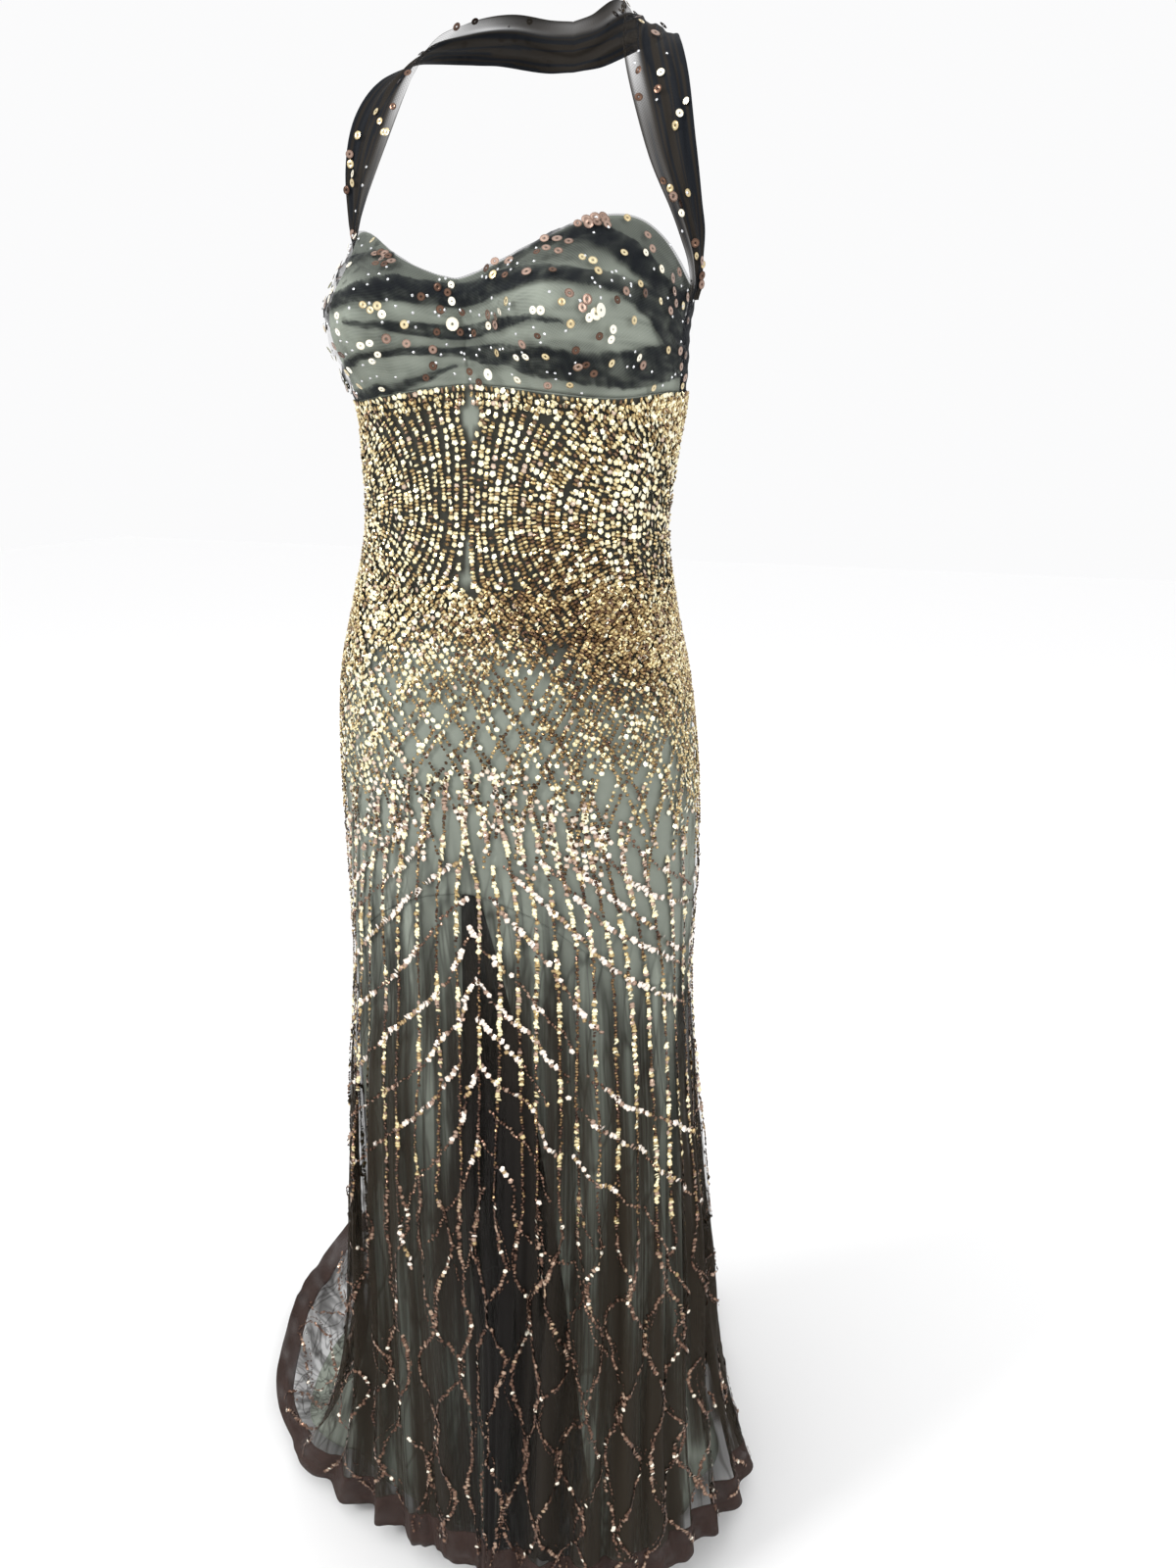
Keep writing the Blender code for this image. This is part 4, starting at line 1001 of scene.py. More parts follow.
def add_bust(satin, net):
    """The satin cups, the net draped over them in folds, and the plain back of the bodice."""
    for side, start, end in (("right", -1.0, 0.0), ("left", 0.0, 1.0)):
        q, level = grid_of(start, end, 1.0, 0.003, 62, 45)
        points = bust_points(q, level, 0 * q - SATIN_DEPTH)
        # The darts and the top edge are marked as seams: raised, and painted paler along them as a
        # painted highlight.
        dart = ease(np.abs(np.abs(q) - 0.52), 0.008, 0.002) * ease(level, 0.62, 0.5)
        seam = np.maximum(dart * 0.5, ease(level, 0.975, 0.985))
        add_cloth(
            "satin_bust_" + side, points, (satin, "satin"), "cup_" + side, "stretched", [], SATIN_WALL,
            seam=seam,
        )
    q, level = grid_of(-1.0, 1.0, 1.0, 0.003, 230, 98)
    degrees = degrees_at(q)
    cover = lap_cover(degrees, level)
    pull = noise(q * 4 + 20, level * 16 + 3 * q, 41) * noise(q * 9 + 20, level * 30, 42)
    tucks = noise(q * 34 + 60, level * 5 + 3 * q, 45) * ease(np.abs(q + 0.05), 0.75, 0.15)
    lift = cup_lift(q, level) + 0.0006 * cover + 0.0013 * pull + 0.0008 * tucks - BEAD_ROOM
    points = bust_points(q, level, lift)
    worn = 0.72 + 0.5 * noise(q * 26 + 50, level * 34, 44) + 0.3 * noise(q * 70 + 50, level * 12, 46)
    layers = 0.12 + 1.3 * ease(level, 0.62, 0.85) + 5.2 * cover * np.maximum(worn, 0.2)
    # Painted shade: the net is made denser, so darker, along the pulls and tucks, for the shade in
    # these wrinkles.
    layers = layers + 1.3 * np.abs(pull) + 0.35 * np.maximum(tucks, 0)
    add_cloth(
        "net_bust_drape", points, (net, "dark_net"), "bust_drape", "draped",
        ["satin_bust_left", "satin_bust_right"], extra=TUCK_ALLOWANCE, layers=layers, tone=0.0,
    )
    for side, start, end in (("left", 1.0, 2.0), ("right", -2.0, -1.0)):
        q, level = grid_of(start, end, 1.0, 0.003, 44, 24)
        fold = 0.0004 * np.cos(level * 34 + 2 * noise(q * 6 + 20, level * 2, 43))
        points = bust_points(q, level, fold - BEAD_ROOM - WALL / 2)
        add_cloth(
            "net_bodice_back_" + side, points, (net, "dark_net"), "bodice_back_" + side, "stretched",
            [], NET_WALL, layers=6.0, tone=0.0,
        )


def strap_frame(station):
    """The strap's middle, width, face and cross direction, from 0 at the bust to 1 at the nape."""
    keys = np.linspace(0.0, 1.0, len(STRAP))
    values = [smooth(keys, [row[i] for row in STRAP], station) for i in range(6)]
    middle = np.stack(values[:3], axis=-1)
    plan = np.radians(values[4])
    rise = np.radians(values[5])
    face = np.stack([np.cos(plan) * np.cos(rise), np.sin(plan) * np.cos(rise), np.sin(rise)], -1)
    run = np.gradient(middle, axis=0)
    run[-1] = (-1.0, 0.0, 0.0)
    run = unit(run)
    across = unit(np.cross(run, face))
    return middle, values[3], np.cross(across, run), across


def strap_points(station, place, side, lift=0.0):
    """Points on a strap: across it by place from -0.5 to 0.5, in pleats that run its length."""
    middle, width, face, across = strap_frame(station)
    place = np.asarray(place)[None, :] + np.zeros((len(station), 1))
    drift = 0.5 * noise(station[:, None] * 7 + 5, place * 2 + 9, 51)
    pleat = 0.0011 * np.cos(2 * math.pi * (3 * (place + 0.5) + drift)) - 0.0011
    pleat = pleat + 0.0003 * np.cos(2 * math.pi * (8 * place + 2 * drift))
    points = middle[:, None] + across[:, None] * (place * width[:, None])[..., None]
    settled = -0.0024 * ease(station, 0.10, 0.0)[:, None]
    points = points + face[:, None] * (pleat + WALL + lift + settled)[..., None]
    return points * (side, 1, 1)


def add_straps(finish):
    """The two straps, each a net drawn into pleats and thin along its inner edge."""
    place = np.linspace(-0.5, 0.5, 36)
    station = np.linspace(0.0, 1.0, 120)
    across, along = np.meshgrid(place, station)
    thin = ease(np.abs(across + 0.35), 0.22, 0.08)
    layers = 16.0 + 4.0 * noise(along * 5, across * 9 + 4, 53)
    layers = np.maximum(layers - 12.5 * thin * (0.85 + 0.3 * noise(along * 8, across * 3 + 4, 52)), 0.8)
    tone = 0.75 * (noise(along * 3, across * 26 + 9, 54) + 0.5 * thin > 0)
    for name, side in (("left", 1), ("right", -1)):
        grids = strap_points(station, place, side), layers, tone
        points, layer, shade = (values[:, ::-side] for values in grids)
        add_cloth(
            "net_strap_" + name, points, (finish, "dark_net"), "strap_" + name, "gathered",
            ["net_bust_drape"], extra=SEAM_ALLOWANCE / 2, layers=layer, tone=shade,
        )


def add_zip(tape, metal):
    """The zip: its two tapes are the CAD strip, with teeth down the middle and a small pull."""
    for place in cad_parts["back_zip"].material_slots:
        place.material = tape
    level = np.linspace(0.01, 0.46, 150)
    base = sample(NET, level * 0 + 2.0, level) * (0, 1, 1)
    normal = unit(sample(NET_NORMAL, level * 0 + BACK_END, level) * (0, 1, 1))
    down = unit(np.gradient(base, axis=0))
    stagger = np.where(np.arange(len(level)) % 2, 0.0007, -0.0007)[:, None]
    centre = base + normal * 0.0023 + np.cross(normal, down) * stagger
    add_elements("zip_teeth", centre, normal, down, (0.0009, 0.0011, 0.0007), metal, "zip", 4)
    top = slice(3, 4)
    pull = centre[top] + normal[top] * 0.0012 - (0, 0, 0.006)
    add_elements("zip_pull", pull, normal[top], down[top], (0.0065, 0.0026, 0.0008), metal, "zip", 10)


def rim_axes(normal, along, sides):
    """The directions from a centre to the points of a rim square to the normal, as two parts."""
    across = unit(np.cross(normal, along))
    turn = (np.arange(sides) * 2 * math.pi / sides)[None, :, None]
    return np.cos(turn) * unit(np.cross(across, normal))[:, None], np.sin(turn) * across[:, None]


def add_repeated(name, points, pattern, shade, finish, numbers):
    """Many small parts as one piece: the points of each, and the faces of one part with the painted
    shade and highlight added to its tint point by point.
    """
    count, size = points.shape[:2]
    faces = (pattern[None] + (np.arange(count) * size)[:, None, None]).reshape(-1, pattern.shape[1])
    piece = make_mesh(name, points.reshape(-1, 3), faces, False)
    for label, values in numbers.items():
        values = np.repeat(np.broadcast_to(values, (count,)), size).reshape(count, size)
        add_attribute(piece, label, values + shade if label == "tint" else values)
    piece.data.materials.append(finish)


def add_elements(name, centre, normal, along, half_sizes, finish, slot, sides=6, **numbers):
    """Many small beads or sequins as one piece: each a rim of points between two low points.

    The rim is an ellipse in the plane across the normal.  The half sizes are along the string,
    across it and to each side of that plane.
    """
    length, width, thick = (
        np.broadcast_to(np.asarray(value, float), (len(centre),))[:, None, None] for value in half_sizes
    )
    ahead, aside = rim_axes(normal, along, sides)
    rim = centre[:, None] + ahead * length + aside * width
    tips = centre[:, None] + normal[:, None] * thick * np.array([1.0, -1.0])[None, :, None]
    i = np.arange(sides)
    j = (i + 1) % sides
    # The rim turns from along to across, and across is normal x along, so front faces look outwards.
    front = np.stack([i, j, np.full(sides, sides)], -1)
    behind = np.stack([j, i, np.full(sides, sides + 1)], -1)
    points, pattern = np.concatenate([rim, tips], axis=1), np.concatenate([front, behind])
    # Painted shade and highlight: the rim is painted darker, the front tip lighter and the back tip
    # darker still.
    shade = np.r_[np.full(sides, -0.17), 0.06, -0.3]
    add_repeated(name, points, pattern, shade, finish, numbers)


def add_rings(name, centre, normal, along, radius, finish, slot, sides=12, **numbers):
    """Sequins with a hole: flat rings whose section is a thin diamond, as one piece."""
    spoke = sum(rim_axes(normal, along, sides)) * radius[:, None, None]
    rings = [
        centre[:, None] + spoke * reach + normal[:, None] * height
        for reach, height in ((1.0, 0.0), (0.60, 0.00022), (0.19, 0.0), (0.60, -0.00022))
    ]
    points = np.concatenate(rings, axis=1)
    i = np.arange(sides)
    j = (i + 1) % sides
    corners = [(k * sides, (k + 1) % 4 * sides) for k in range(4)]
    pattern = np.concatenate([np.stack([a + i, a + j, b + j, b + i], -1) for a, b in corners])
    # Painted shade and highlight: the outer rim and the edge of the hole are painted darker, the upper
    # ring lighter and the lower ring darker still.
    shade = np.repeat((-0.12, 0.06, -0.12, -0.2), sides)
    add_repeated(name, points, pattern, shade, finish, numbers)


def with_room(at, reach, share):
    """Which elements of a string have room: each is clear of the last by a share of both reaches."""
    kept = [0]
    for k in range(1, len(at)):
        if at[k] - at[kept[-1]] >= share * (reach[k] + reach[kept[-1]]):
            kept.append(k)
    return np.array(kept)


class Strings:
    """Bead strings: gathers elements along paths, then makes them into pieces."""

    def __init__(self, seed):
        self.random = np.random.default_rng(seed)
        self.parts = []
        self.count = 0

    def string(self, q, level, pitch, style, tilt=0.25, gaps=0.0, jitter=0.0003, room=0.0):
        """Elements at an even pitch along one path over the net.

        The style gives half lengths, half widths, half heights, tints and pinkness from q, level, a
        random number for each element, and a smooth noise along the string that makes runs of a kind.
        """
        points = sample(NET, q, level)
        run = np.concatenate([[0.0], np.linalg.norm(np.diff(points, axis=0), axis=-1).cumsum()])
        count = int(run[-1] / pitch)
        self.count += 1
        if count < 2:
            return
        at = (np.arange(count) + 0.5 + self.random.uniform(-0.12, 0.12, count)) * pitch
        at = at[self.random.uniform(0, 1, count) >= gaps]
        q, level = np.interp(at, run, q), np.interp(at, run, level)
        if not len(at):
            return
        chance = self.random.uniform(0.0, 1.0, len(at))
        runs = noise(at / 0.022, at * 0 + 1.7 * self.count, 75)
        values = [np.broadcast_to(value, at.shape) for value in style(q, level, chance, runs)]
        kept = with_room(at, values[0], room)
        at, q, level, values = at[kept], q[kept], level[kept], [value[kept] for value in values]
        normal = unit(sample(NET_NORMAL, q, level))
        ahead, behind = (
            np.stack([np.interp(at + step, run, points[:, k]) for k in range(3)], -1)
            for step in (0.001, -0.001)
        )
        along = unit(ahead - behind)
        across = np.cross(normal, along)
        lean = self.random.normal(0.0, tilt, (len(at), 2))
        face = unit(normal + along * lean[:, :1] + across * lean[:, 1:])
        lift = WALL / 2 + values[2] + np.abs(lean).max(1) * np.maximum(values[0], values[1]) * 0.4
        centre = sample(NET, q, level) + normal * lift[:, None]
        centre = centre + across * self.random.normal(0.0, jitter, (len(at), 1))
        self.parts.append((q, level, centre, face, along, *values))

    def make(self, name, finish, sides=5):
        """Makes the gathered elements into pieces of the front and the back."""
        joined = [np.concatenate([part[k] for part in self.parts]) for k in range(10)]
        front = np.abs(joined[0]) <= 1.0
        for label, chosen in (("front", front), ("back", ~front)):
            centre, face, along, *half_sizes, tint, pink = (values[chosen] for values in joined[2:])
            add_elements(
                f"{name}_{label}", centre, face, along, half_sizes, finish, "beaded_net", sides,
                tint=tint, pink=pink,
            )


def mixed(large, sequin, bead):
    """Chooses between a sequin's and a bead's numbers, element by element."""
    return [np.where(large, first, second) for first, second in zip(sequin, bead)]


def bodice_style(q, level, chance, runs):
    """Gold beads with flat round sequins among them, larger and paler where the bodice is rich.

    The lattice is mostly dark, more so at its foot, and the waist a little paler.
    """
    q = fronted(q)
    lattice = hump(q, 0.14, 0.40) * ease(level, 0.50, 0.60) * ease(level, 0.86, 0.74)
    lower = ease(level, 0.64, 0.78)
    waist = ease(level, 0.50, 0.38)
    far = ease(q, 0.75, 1.0) * ease(level, 0.30, 0.42)
    rich = 0.38 - 0.10 * lattice + 0.14 * lower - 0.15 * far
    # Painted highlight: near the outline at the wearer's left side the beads are painted paler, for the
    # glints they catch there.
    shade = 0.35 - 0.14 * lattice - 0.17 * lower + 0.13 * far
    shade = shade + (0.09 + 0.05 * ease(q, -0.05, -0.35)) * waist
    for at, wide, middle, tall, richer, paler in BODICE_PLACES:
        place = hump(q, at, wide) * hump(level, middle, tall)
        rich = rich + richer * place
        shade = shade + paler * place
    rich = np.clip(rich, 0.02, 1.0)
    large = chance < rich * 0.80 + 0.14 * runs + 0.06 * waist
    spread = np.mod(chance * 97.31, 1.0)
    size = 0.0022 + (0.0007 * spread + 0.0003) * rich + 0.0002 * lower
    pinkness = np.where(spread < 0.08 + 0.55 * lower, 0.75, 0.0)
    sequin = (size, size, 0.00035, 0.74 + 0.34 * spread ** 0.7, pinkness)
    tint = np.clip(shade + 0.52 * spread ** (1.5 - 0.6 * rich), 0.03, 1.0)
    wide = 0.0025 - 0.0007 * ease(level, 0.40, 0.54)
    return mixed(large, sequin, (0.00148, wide, 0.0011, tint, np.where(spread < 0.15, 0.5, 0.0)))


def trail_style(q, level, chance, runs):
    """Long strings: runs of pale gold sequins among dark seed beads, thinner and browner lower down.

    The strings at the wearer's left stay gold for longer.
    """
    gold = np.where(q > 0, hump(q, 0.72, 0.22), 0.0)
    low = ease(level, 1.08 + 0.16 * gold, 1.34 + 0.12 * gold)
    top = ease(level, 1.00, 0.76)
    large = (runs + 0.45 * top > -0.20 + 0.52 * low) & (chance < 0.88)
    spread = np.mod(chance * 53.7, 1.0)
    pale = np.where(spread < 0.45, 0.62, 0.92) - 0.20 * low
    pinkness = np.where(spread < 0.16 + 0.36 * top + 0.3 * low, 0.8, 0.0)
    size = 0.0023 + (0.0005 + 0.0006 * top) * np.mod(chance * 11.3, 1.0)
    sequin = (size * 0.9, size, 0.00045, pale + 0.08 * chance, pinkness)
    dim = 0.14 + (0.46 - 0.16 * top) * spread ** 1.3
    bead = (0.0016, 0.0017 + 0.0003 * top, 0.0009, dim, np.where(spread < 0.3 + 0.4 * low, 0.7, 0.1))
    return mixed(large, sequin, bead)


def net_style(q, level, chance, runs):
    """The wavy net of copper strings near the hem: flat dull links with a few bright sequins."""
    spread = np.mod(chance * 53.7, 1.0)
    large = (chance < 0.055) | ((runs > 0.45) & (chance < 0.4) & (level < 1.55))
    sequin = (0.0023, 0.0024, 0.0004, np.where(chance < 0.045, 1.0, 0.62), 0.5)
    bead = (0.0023, 0.0020 + 0.0008 * runs, 0.0004, 0.20 + 0.36 * spread ** 1.3 + 0.14 * runs, 0.72)
    return mixed(large, sequin, bead)


def thread_style(q, level, chance, runs):
    """Loose dull threads of small beads that wander beside the wavy net."""
    return [0.0018, 0.0009 + 0.0003 * runs, 0.0004, 0.14 + 0.22 * chance, 0.6]


def chevron_style(q, level, chance, runs):
    """Slanting strings of whitish sequins in short runs, with copper beads between them."""
    low = ease(level, 1.16, 1.40)
    large = (runs > -0.26 + 0.56 * low) & (chance < 0.90)
    spread = np.mod(chance * 53.7, 1.0)
    size = 0.0024 + 0.0010 * spread * (1 - 0.4 * low)
    tint = np.where(spread > 0.36 + 0.25 * low, 0.98, 0.60)
    sequin = (size * 0.92, size, 0.00045, tint, np.where(spread < 0.2, 0.15, 0.8))
    bead = (0.0017, 0.0017, 0.0009, 0.18 + 0.36 * spread, 0.7)
    return mixed(large, sequin, bead)


def top_fan(q):
    """How far a string of the bodice has moved round, in q, by the seam under the bust."""
    q = np.abs(q)
    return 0.020 + 0.34 * ease(q, 0.0, 0.42) * ease(q, 1.95, 0.65)


def bodice_shift(q, height):
    """How far a string of the bodice stands outwards at a height, in q, above the lattice.

    It grows as the square of the way from the waist, up to the seam and down to the lattice.
    """
    up = np.clip((height - FAN_UP) / 0.090, 0.0, 1.1) ** 2
    down = np.clip((FAN_DOWN - height) / (FAN_DOWN - LATTICE_TOP), 0.0, 1.0) ** 2
    near = (0.020 + 0.55 * np.minimum(np.abs(q), 0.25)) * ease(np.abs(q), 0.85, 0.30)
    return up * top_fan(q) + down * near


def crossing(height):
    """How far a string has run across in q at a height: a slope of 0.8 that dies out at the thighs."""
    fine = np.linspace(0.70, 1.20, 501)
    slope = np.interp(
        fine, (0.70, 0.76, 0.80, 0.84, 0.88, 0.92, 0.97), (0.0, 0.08, 0.18, 0.38, 0.62, 0.74, 0.80),
    ) * (fine <= LATTICE_TOP)
    return np.interp(height, fine, slope[::-1].cumsum()[::-1] * 0.001 / 0.240)


def pieces_of(q):
    """Where a path that goes round the centre back is cut: the starts and ends of its stretches."""
    breaks = np.flatnonzero(np.abs(np.diff(q)) > 1.0) + 1
    return [(a, b) for a, b in zip([0, *breaks], [*breaks, len(q)]) if b - a > 3]


def add_body_strings(strings):
    """Strings from the bust seam that fan about the waist and then cross in a diamond lattice.

    Each place round the body has two: one runs out from the seam, and the other starts where the
    lattice starts.  Near the centres the first runs outwards.  Every other one ends half way down.
    """
    spacing = 4.0 / BODY_STRINGS
    for k in range(BODY_STRINGS):
        base = -2.0 + (k + 0.5) * spacing
        mirrored = float(fronted(base))
        side = np.sign(mirrored)
        outwards = side * (1 if abs(mirrored) < 0.5 or k % 2 else -1)
        early = 0.948 if mirrored > -0.08 or abs(base) > 1 else 0.920
        early = early - 0.09 * ease(abs(mirrored), 0.45, 0.90) + 0.03 * strings.random.uniform()
        last = 0.775 + 0.060 * strings.random.uniform() if k // 2 % 2 else early
        second_start = LATTICE_START - 0.02 * strings.random.uniform()
        for way, first in ((outwards, STRING_TOP), (-outwards, second_start)):
            height = np.linspace(first, last, 420)
            shifted = side * bodice_shift(mirrored, height) if first == STRING_TOP else 0.0
            waist_gap = 0.015 * hump(height, 1.100, 0.013) * hump(abs(mirrored), 0.42, 0.05)
            opening = 0.022 * hump(height, 1.150, 0.011) * hump(mirrored, 0.0, 0.07)
            parted = side * (waist_gap * np.sign(abs(mirrored) - 0.42) + opening)
            place = mirrored + shifted + parted + way * crossing(height)
            place = place + 0.003 * np.sin(height * 90 + 2 * k)
            q = place if abs(base) <= 1 else np.sign(base) * 2 - place
            q = np.mod(q + 2.0, 4.0) - 2.0
            high = column(BUST_SEAM, 1, from_front(degrees_at(q)))
            level = level_at(q, np.minimum(height, high - 0.0005))
            clear = (height < high - 0.003) & ~in_gap(q, height)
            q, level = q[clear], level[clear]
            for start, stop in pieces_of(q):
                strings.string(
                    q[start:stop], level[start:stop], BODY_PITCH, bodice_style, 0.24, 0.02, room=0.70,
                )
    for down in (0.0015, 0.0065, 0.0120):
        for start, stop in ((-BACK_END, 0.0), (0.0, BACK_END)):
            q = np.linspace(start, stop, 700)
            high = column(BUST_SEAM, 1, from_front(degrees_at(q))) - down
            strings.string(q, level_at(q, high), SEAM_PITCH, bodice_style, 0.24, 0.04)


def in_gap(q, height):
    """Whether a place lies in one of the small openings that the strings leave at the centre front."""
    return np.any([
        np.abs(np.mod(q + 1.0, 2.0) - 1.0 - at) / wide + np.abs(height - middle) / tall < 1.0
        for at, middle, wide, tall in STRING_GAPS
    ], axis=0)


def add_long_strings(strings):
    """Strings that fall from the lattice to the hem, where they swing together and apart in a net."""
    spacing = 4.0 / LONG_STRINGS
    for k in range(LONG_STRINGS):
        base = -2.0 + (k + 0.5) * spacing
        mirrored = abs(float(fronted(base)))
        level = np.linspace(0.70 + 0.08 * strings.random.uniform(), 1.972, 1400)
        own = level * 0 + k
        ogee = ease(level, 1.34, 1.50)
        lean = (0.05 + 0.12 * min(mirrored, 0.7)) * ease(mirrored, 1.15, 0.75)
        lean = lean * ease(level, 1.06, 0.72)
        phase = 2 * math.pi * (level - 1.40) / 0.21 + 0.9 * noise(level * 5, 1.9 * own, 73)
        swing = (1 if k % 2 else -1) * (0.46 + 0.16 * noise(level * 7, 1.3 * own, 79)) * spacing
        place = mirrored - lean + 0.010 * noise(level * 9, 3.3 * own, 74)
        place = place + ogee * (swing * np.sin(phase) + 0.034 * noise(level * 18, 2.3 * own, 76))
        q = np.sign(base) * (place if abs(base) <= 1 else 2 - place)
        q = np.clip(q, -BACK_END, BACK_END)
        split = np.searchsorted(level, 1.36 + 0.05 * strings.random.uniform())
        strings.string(q[:split + 1], level[:split + 1], TRAIL_PITCH, trail_style, 0.30, 0.06, 0.0005)
        strings.string(q[split:], level[split:], NET_PITCH, net_style, 0.22, 0.08, 0.0007)
        beside = np.clip(q + 0.030 * ogee * noise(level * 12, 4.1 * own, 77), -BACK_END, BACK_END)
        strings.string(beside[split:], level[split:], THREAD_PITCH, thread_style, 0.22, 0.35)


def add_chevrons(strings):
    """Slanting strings that run down and out from the centres, the same on the front and the back."""
    for rows in CHEVRONS:
        places = np.array(rows)
        keys = np.r_[0.0, np.hypot(*np.diff(places, axis=0).T).cumsum()]
        along = np.linspace(0.0, keys[-1], 240)
        q, level = (smooth(keys, places[:, k], along) for k in (0, 1))
        strings.string(q, level, CHEVRON_PITCH, chevron_style, 0.30, 0.05, 0.0008)
        back = np.clip(np.sign(rows[-1][0]) * 2.0 - q, -BACK_END, BACK_END)
        strings.string(back, level, CHEVRON_PITCH, chevron_style, 0.28, 0.05, 0.0005)


def add_strings(finish):
    """All the strings of beads and sequins over the net."""
    upper = Strings(71)
    add_body_strings(upper)
    upper.make("bodice_beads", finish)
    lower = Strings(72)
    add_long_strings(lower)
    add_chevrons(lower)
    lower.make("skirt_beads", finish)


def sequin_places(random, scattered):
    """The bust's sequins as q, level, tint, pinkness and radius.

    First come the set ones, then those of the scattered ones that are clear of all before them.
    """
    rings = [(*place, *SEQUIN_KINDS[kind]) for kind, places in SEQUINS.items() for place in places]
    placed = len(rings)
    for q, level in zip(random.uniform(-0.98, 0.98, scattered), random.uniform(0.04, 0.97, scattered)):
        crowded = (-0.40 < q < 0.90) and random.uniform() < 0.86
        if not crowded:
            rings.append((q, level, *SEQUIN_KINDS[SCATTERED_KINDS[random.integers(4)]]))
    kept, points = [], []
    for ring in rings:
        point = bust(degrees_at(ring[0]), ring[1])
        if len(kept) < placed or min(np.linalg.norm(point - other) for other in points) > SEQUIN_ROOM:
            kept.append(ring)
            points.append(point)
    return np.array(kept).T


def add_paillettes(finish, crystal):
    """Loose sequins with a hole, and crystals, over the draped bust and the straps."""
    random = np.random.default_rng(81)
    q, level, *numbers = sequin_places(random, 260)
    crystals = 170
    q = np.r_[q, random.uniform(-0.98, 0.98, crystals)]
    level = np.r_[level, random.uniform(0.03, 0.98, crystals)]
    numbers = [np.r_[part, np.full(crystals, value)] for part, value in zip(numbers, CRYSTAL)]
    base = bust(degrees_at(q), level)
    normal = bust_normal(degrees_at(q), level)
    lift = cup_lift(q, level) + 0.0010
    sewn, clear = 34, 12
    for side in (1, -1):
        grid = strap_points(np.linspace(0.04, 0.95, 60), np.linspace(-0.5, 0.5, 21), side, 0.0010)
        at = random.integers(2, 58, sewn + clear), random.integers(2, 19, sewn + clear)
        base = np.concatenate([base, grid[at]])
        normal = np.concatenate([normal, -side * normals_of(grid)[at]])
        lift = np.r_[lift, np.full(sewn + clear, 0.0006)]
        chosen = [SEQUIN_KINDS[SCATTERED_KINDS[i]] for i in random.integers(0, 4, sewn)]
        chosen += [CRYSTAL] * clear
        numbers = [np.r_[part, more] for part, more in zip(numbers, np.array(chosen).T)]
    tint, pink, radius = numbers
    along = unit(random.normal(0, 1, base.shape))
    lean = random.normal(0, 0.10, base.shape)
    face = unit(normal + lean)
    centre = base + normal * (lift + np.abs(lean).max(1) * 0.002)[:, None]
    ring = radius > 0
    radius = radius * random.uniform(0.85, 1.10, len(base))
    tint = tint + random.uniform(-0.06, 0.06, len(base))
    add_rings(
        "bust_sequins", centre[ring], face[ring], along[ring], radius[ring], finish, "dark_net",
        tint=tint[ring], pink=pink[ring],
    )
    centre = centre + normal * 0.0004
    add_elements(
        "bust_crystals", centre[~ring], face[~ring], along[~ring], (0.0011, 0.0011, 0.0009), crystal,
        "dark_net", 8,
    )


def colour(name, description, default):
    """A colour that a user would change."""
    return bpy.props.FloatVectorProperty(
        name=name, description="Colour of " + description, subtype="COLOR", default=default, min=0.0,
        max=1.0,
    )


class GownColours(bpy.types.PropertyGroup):
    """The colours that a user would change."""

    satin: colour("Satin", "the lining, the flounce and the cups", (0.88, 0.90, 0.84))
    net: colour("Net at the top", "the net over the bust and the hips", (0.0055, 0.0075, 0.011))
    brown: colour("Net at the hem", "the net's gathers near the floor", (0.023, 0.0175, 0.0115))
    band: colour("Hem band", "the band along the net's edge", (0.040, 0.025, 0.021))


class GownSizes(bpy.types.PropertyGroup):
    """The sizes that a user would change."""

    sheer: bpy.props.FloatProperty(
        name="Net cover", description="Share of what lies behind that one layer of net hides",
        subtype="FACTOR", default=0.30, min=0.05, max=0.9,
    )
    floor: bpy.props.FloatProperty(
        name="Floor", description="Half the width of the studio floor", subtype="DISTANCE",
        unit="LENGTH", default=9.0, min=2.0,
    )


def shared(name, make):
    """A material by name, made once."""
    return bpy.data.materials.get(name) or make()


def satin(context):
    """The satin of the lining, the flounce and the cups."""
    return shared("satin", lambda: satin_finish("satin", tuple(context.scene.gown_colours.satin)))


def dark_net(context):
    """The net of the bust, the bodice back and the straps."""
    colours, sheer = context.scene.gown_colours, context.scene.gown_sizes.sheer
    return shared("bust_net", lambda: net_finish(
        "bust_net", tuple(colours.net), tuple(colours.brown), sheer, pitch=0.0024))


def gold():
    """The beads and sequins."""
    return shared("gold_beads", lambda: bead_finish("gold_beads"))


class GOWN_OT_linings(bpy.types.Operator):
    """Make the satin lining, the flounce and the net godet in its front"""

    bl_idname = "gown.linings"
    bl_label = "Satin Lining and Flounce"

    def execute(self, context):
        colours = context.scene.gown_colours
        add_linings(satin(context))
        add_flounces(satin(context))
        pale, brown = scaled(colours.satin, 0.075), scaled(colours.brown, 0.35)
        add_godet(net_finish("godet_net", pale, brown, 0.36, streaks=1.0))
        return {"FINISHED"}


class GOWN_OT_nets(bpy.types.Operator):
    """Make the net overlay in its gathers, with the dark band along its hem"""

    bl_idname = "gown.nets"
    bl_label = "Net Overlay and Hem Band"

    def execute(self, context):
        colours = context.scene.gown_colours
        sheer = context.scene.gown_sizes.sheer
        deep = tuple(0.45 * cool + 0.15 * warm for cool, warm in zip(colours.net, colours.brown))
        net = net_finish("gathered_net", deep, tuple(colours.brown), sheer, streaks=1.6)
        band = net_finish("band_net", tuple(colours.band), tuple(colours.band), 0.55)
        add_nets(net, band)
        return {"FINISHED"}


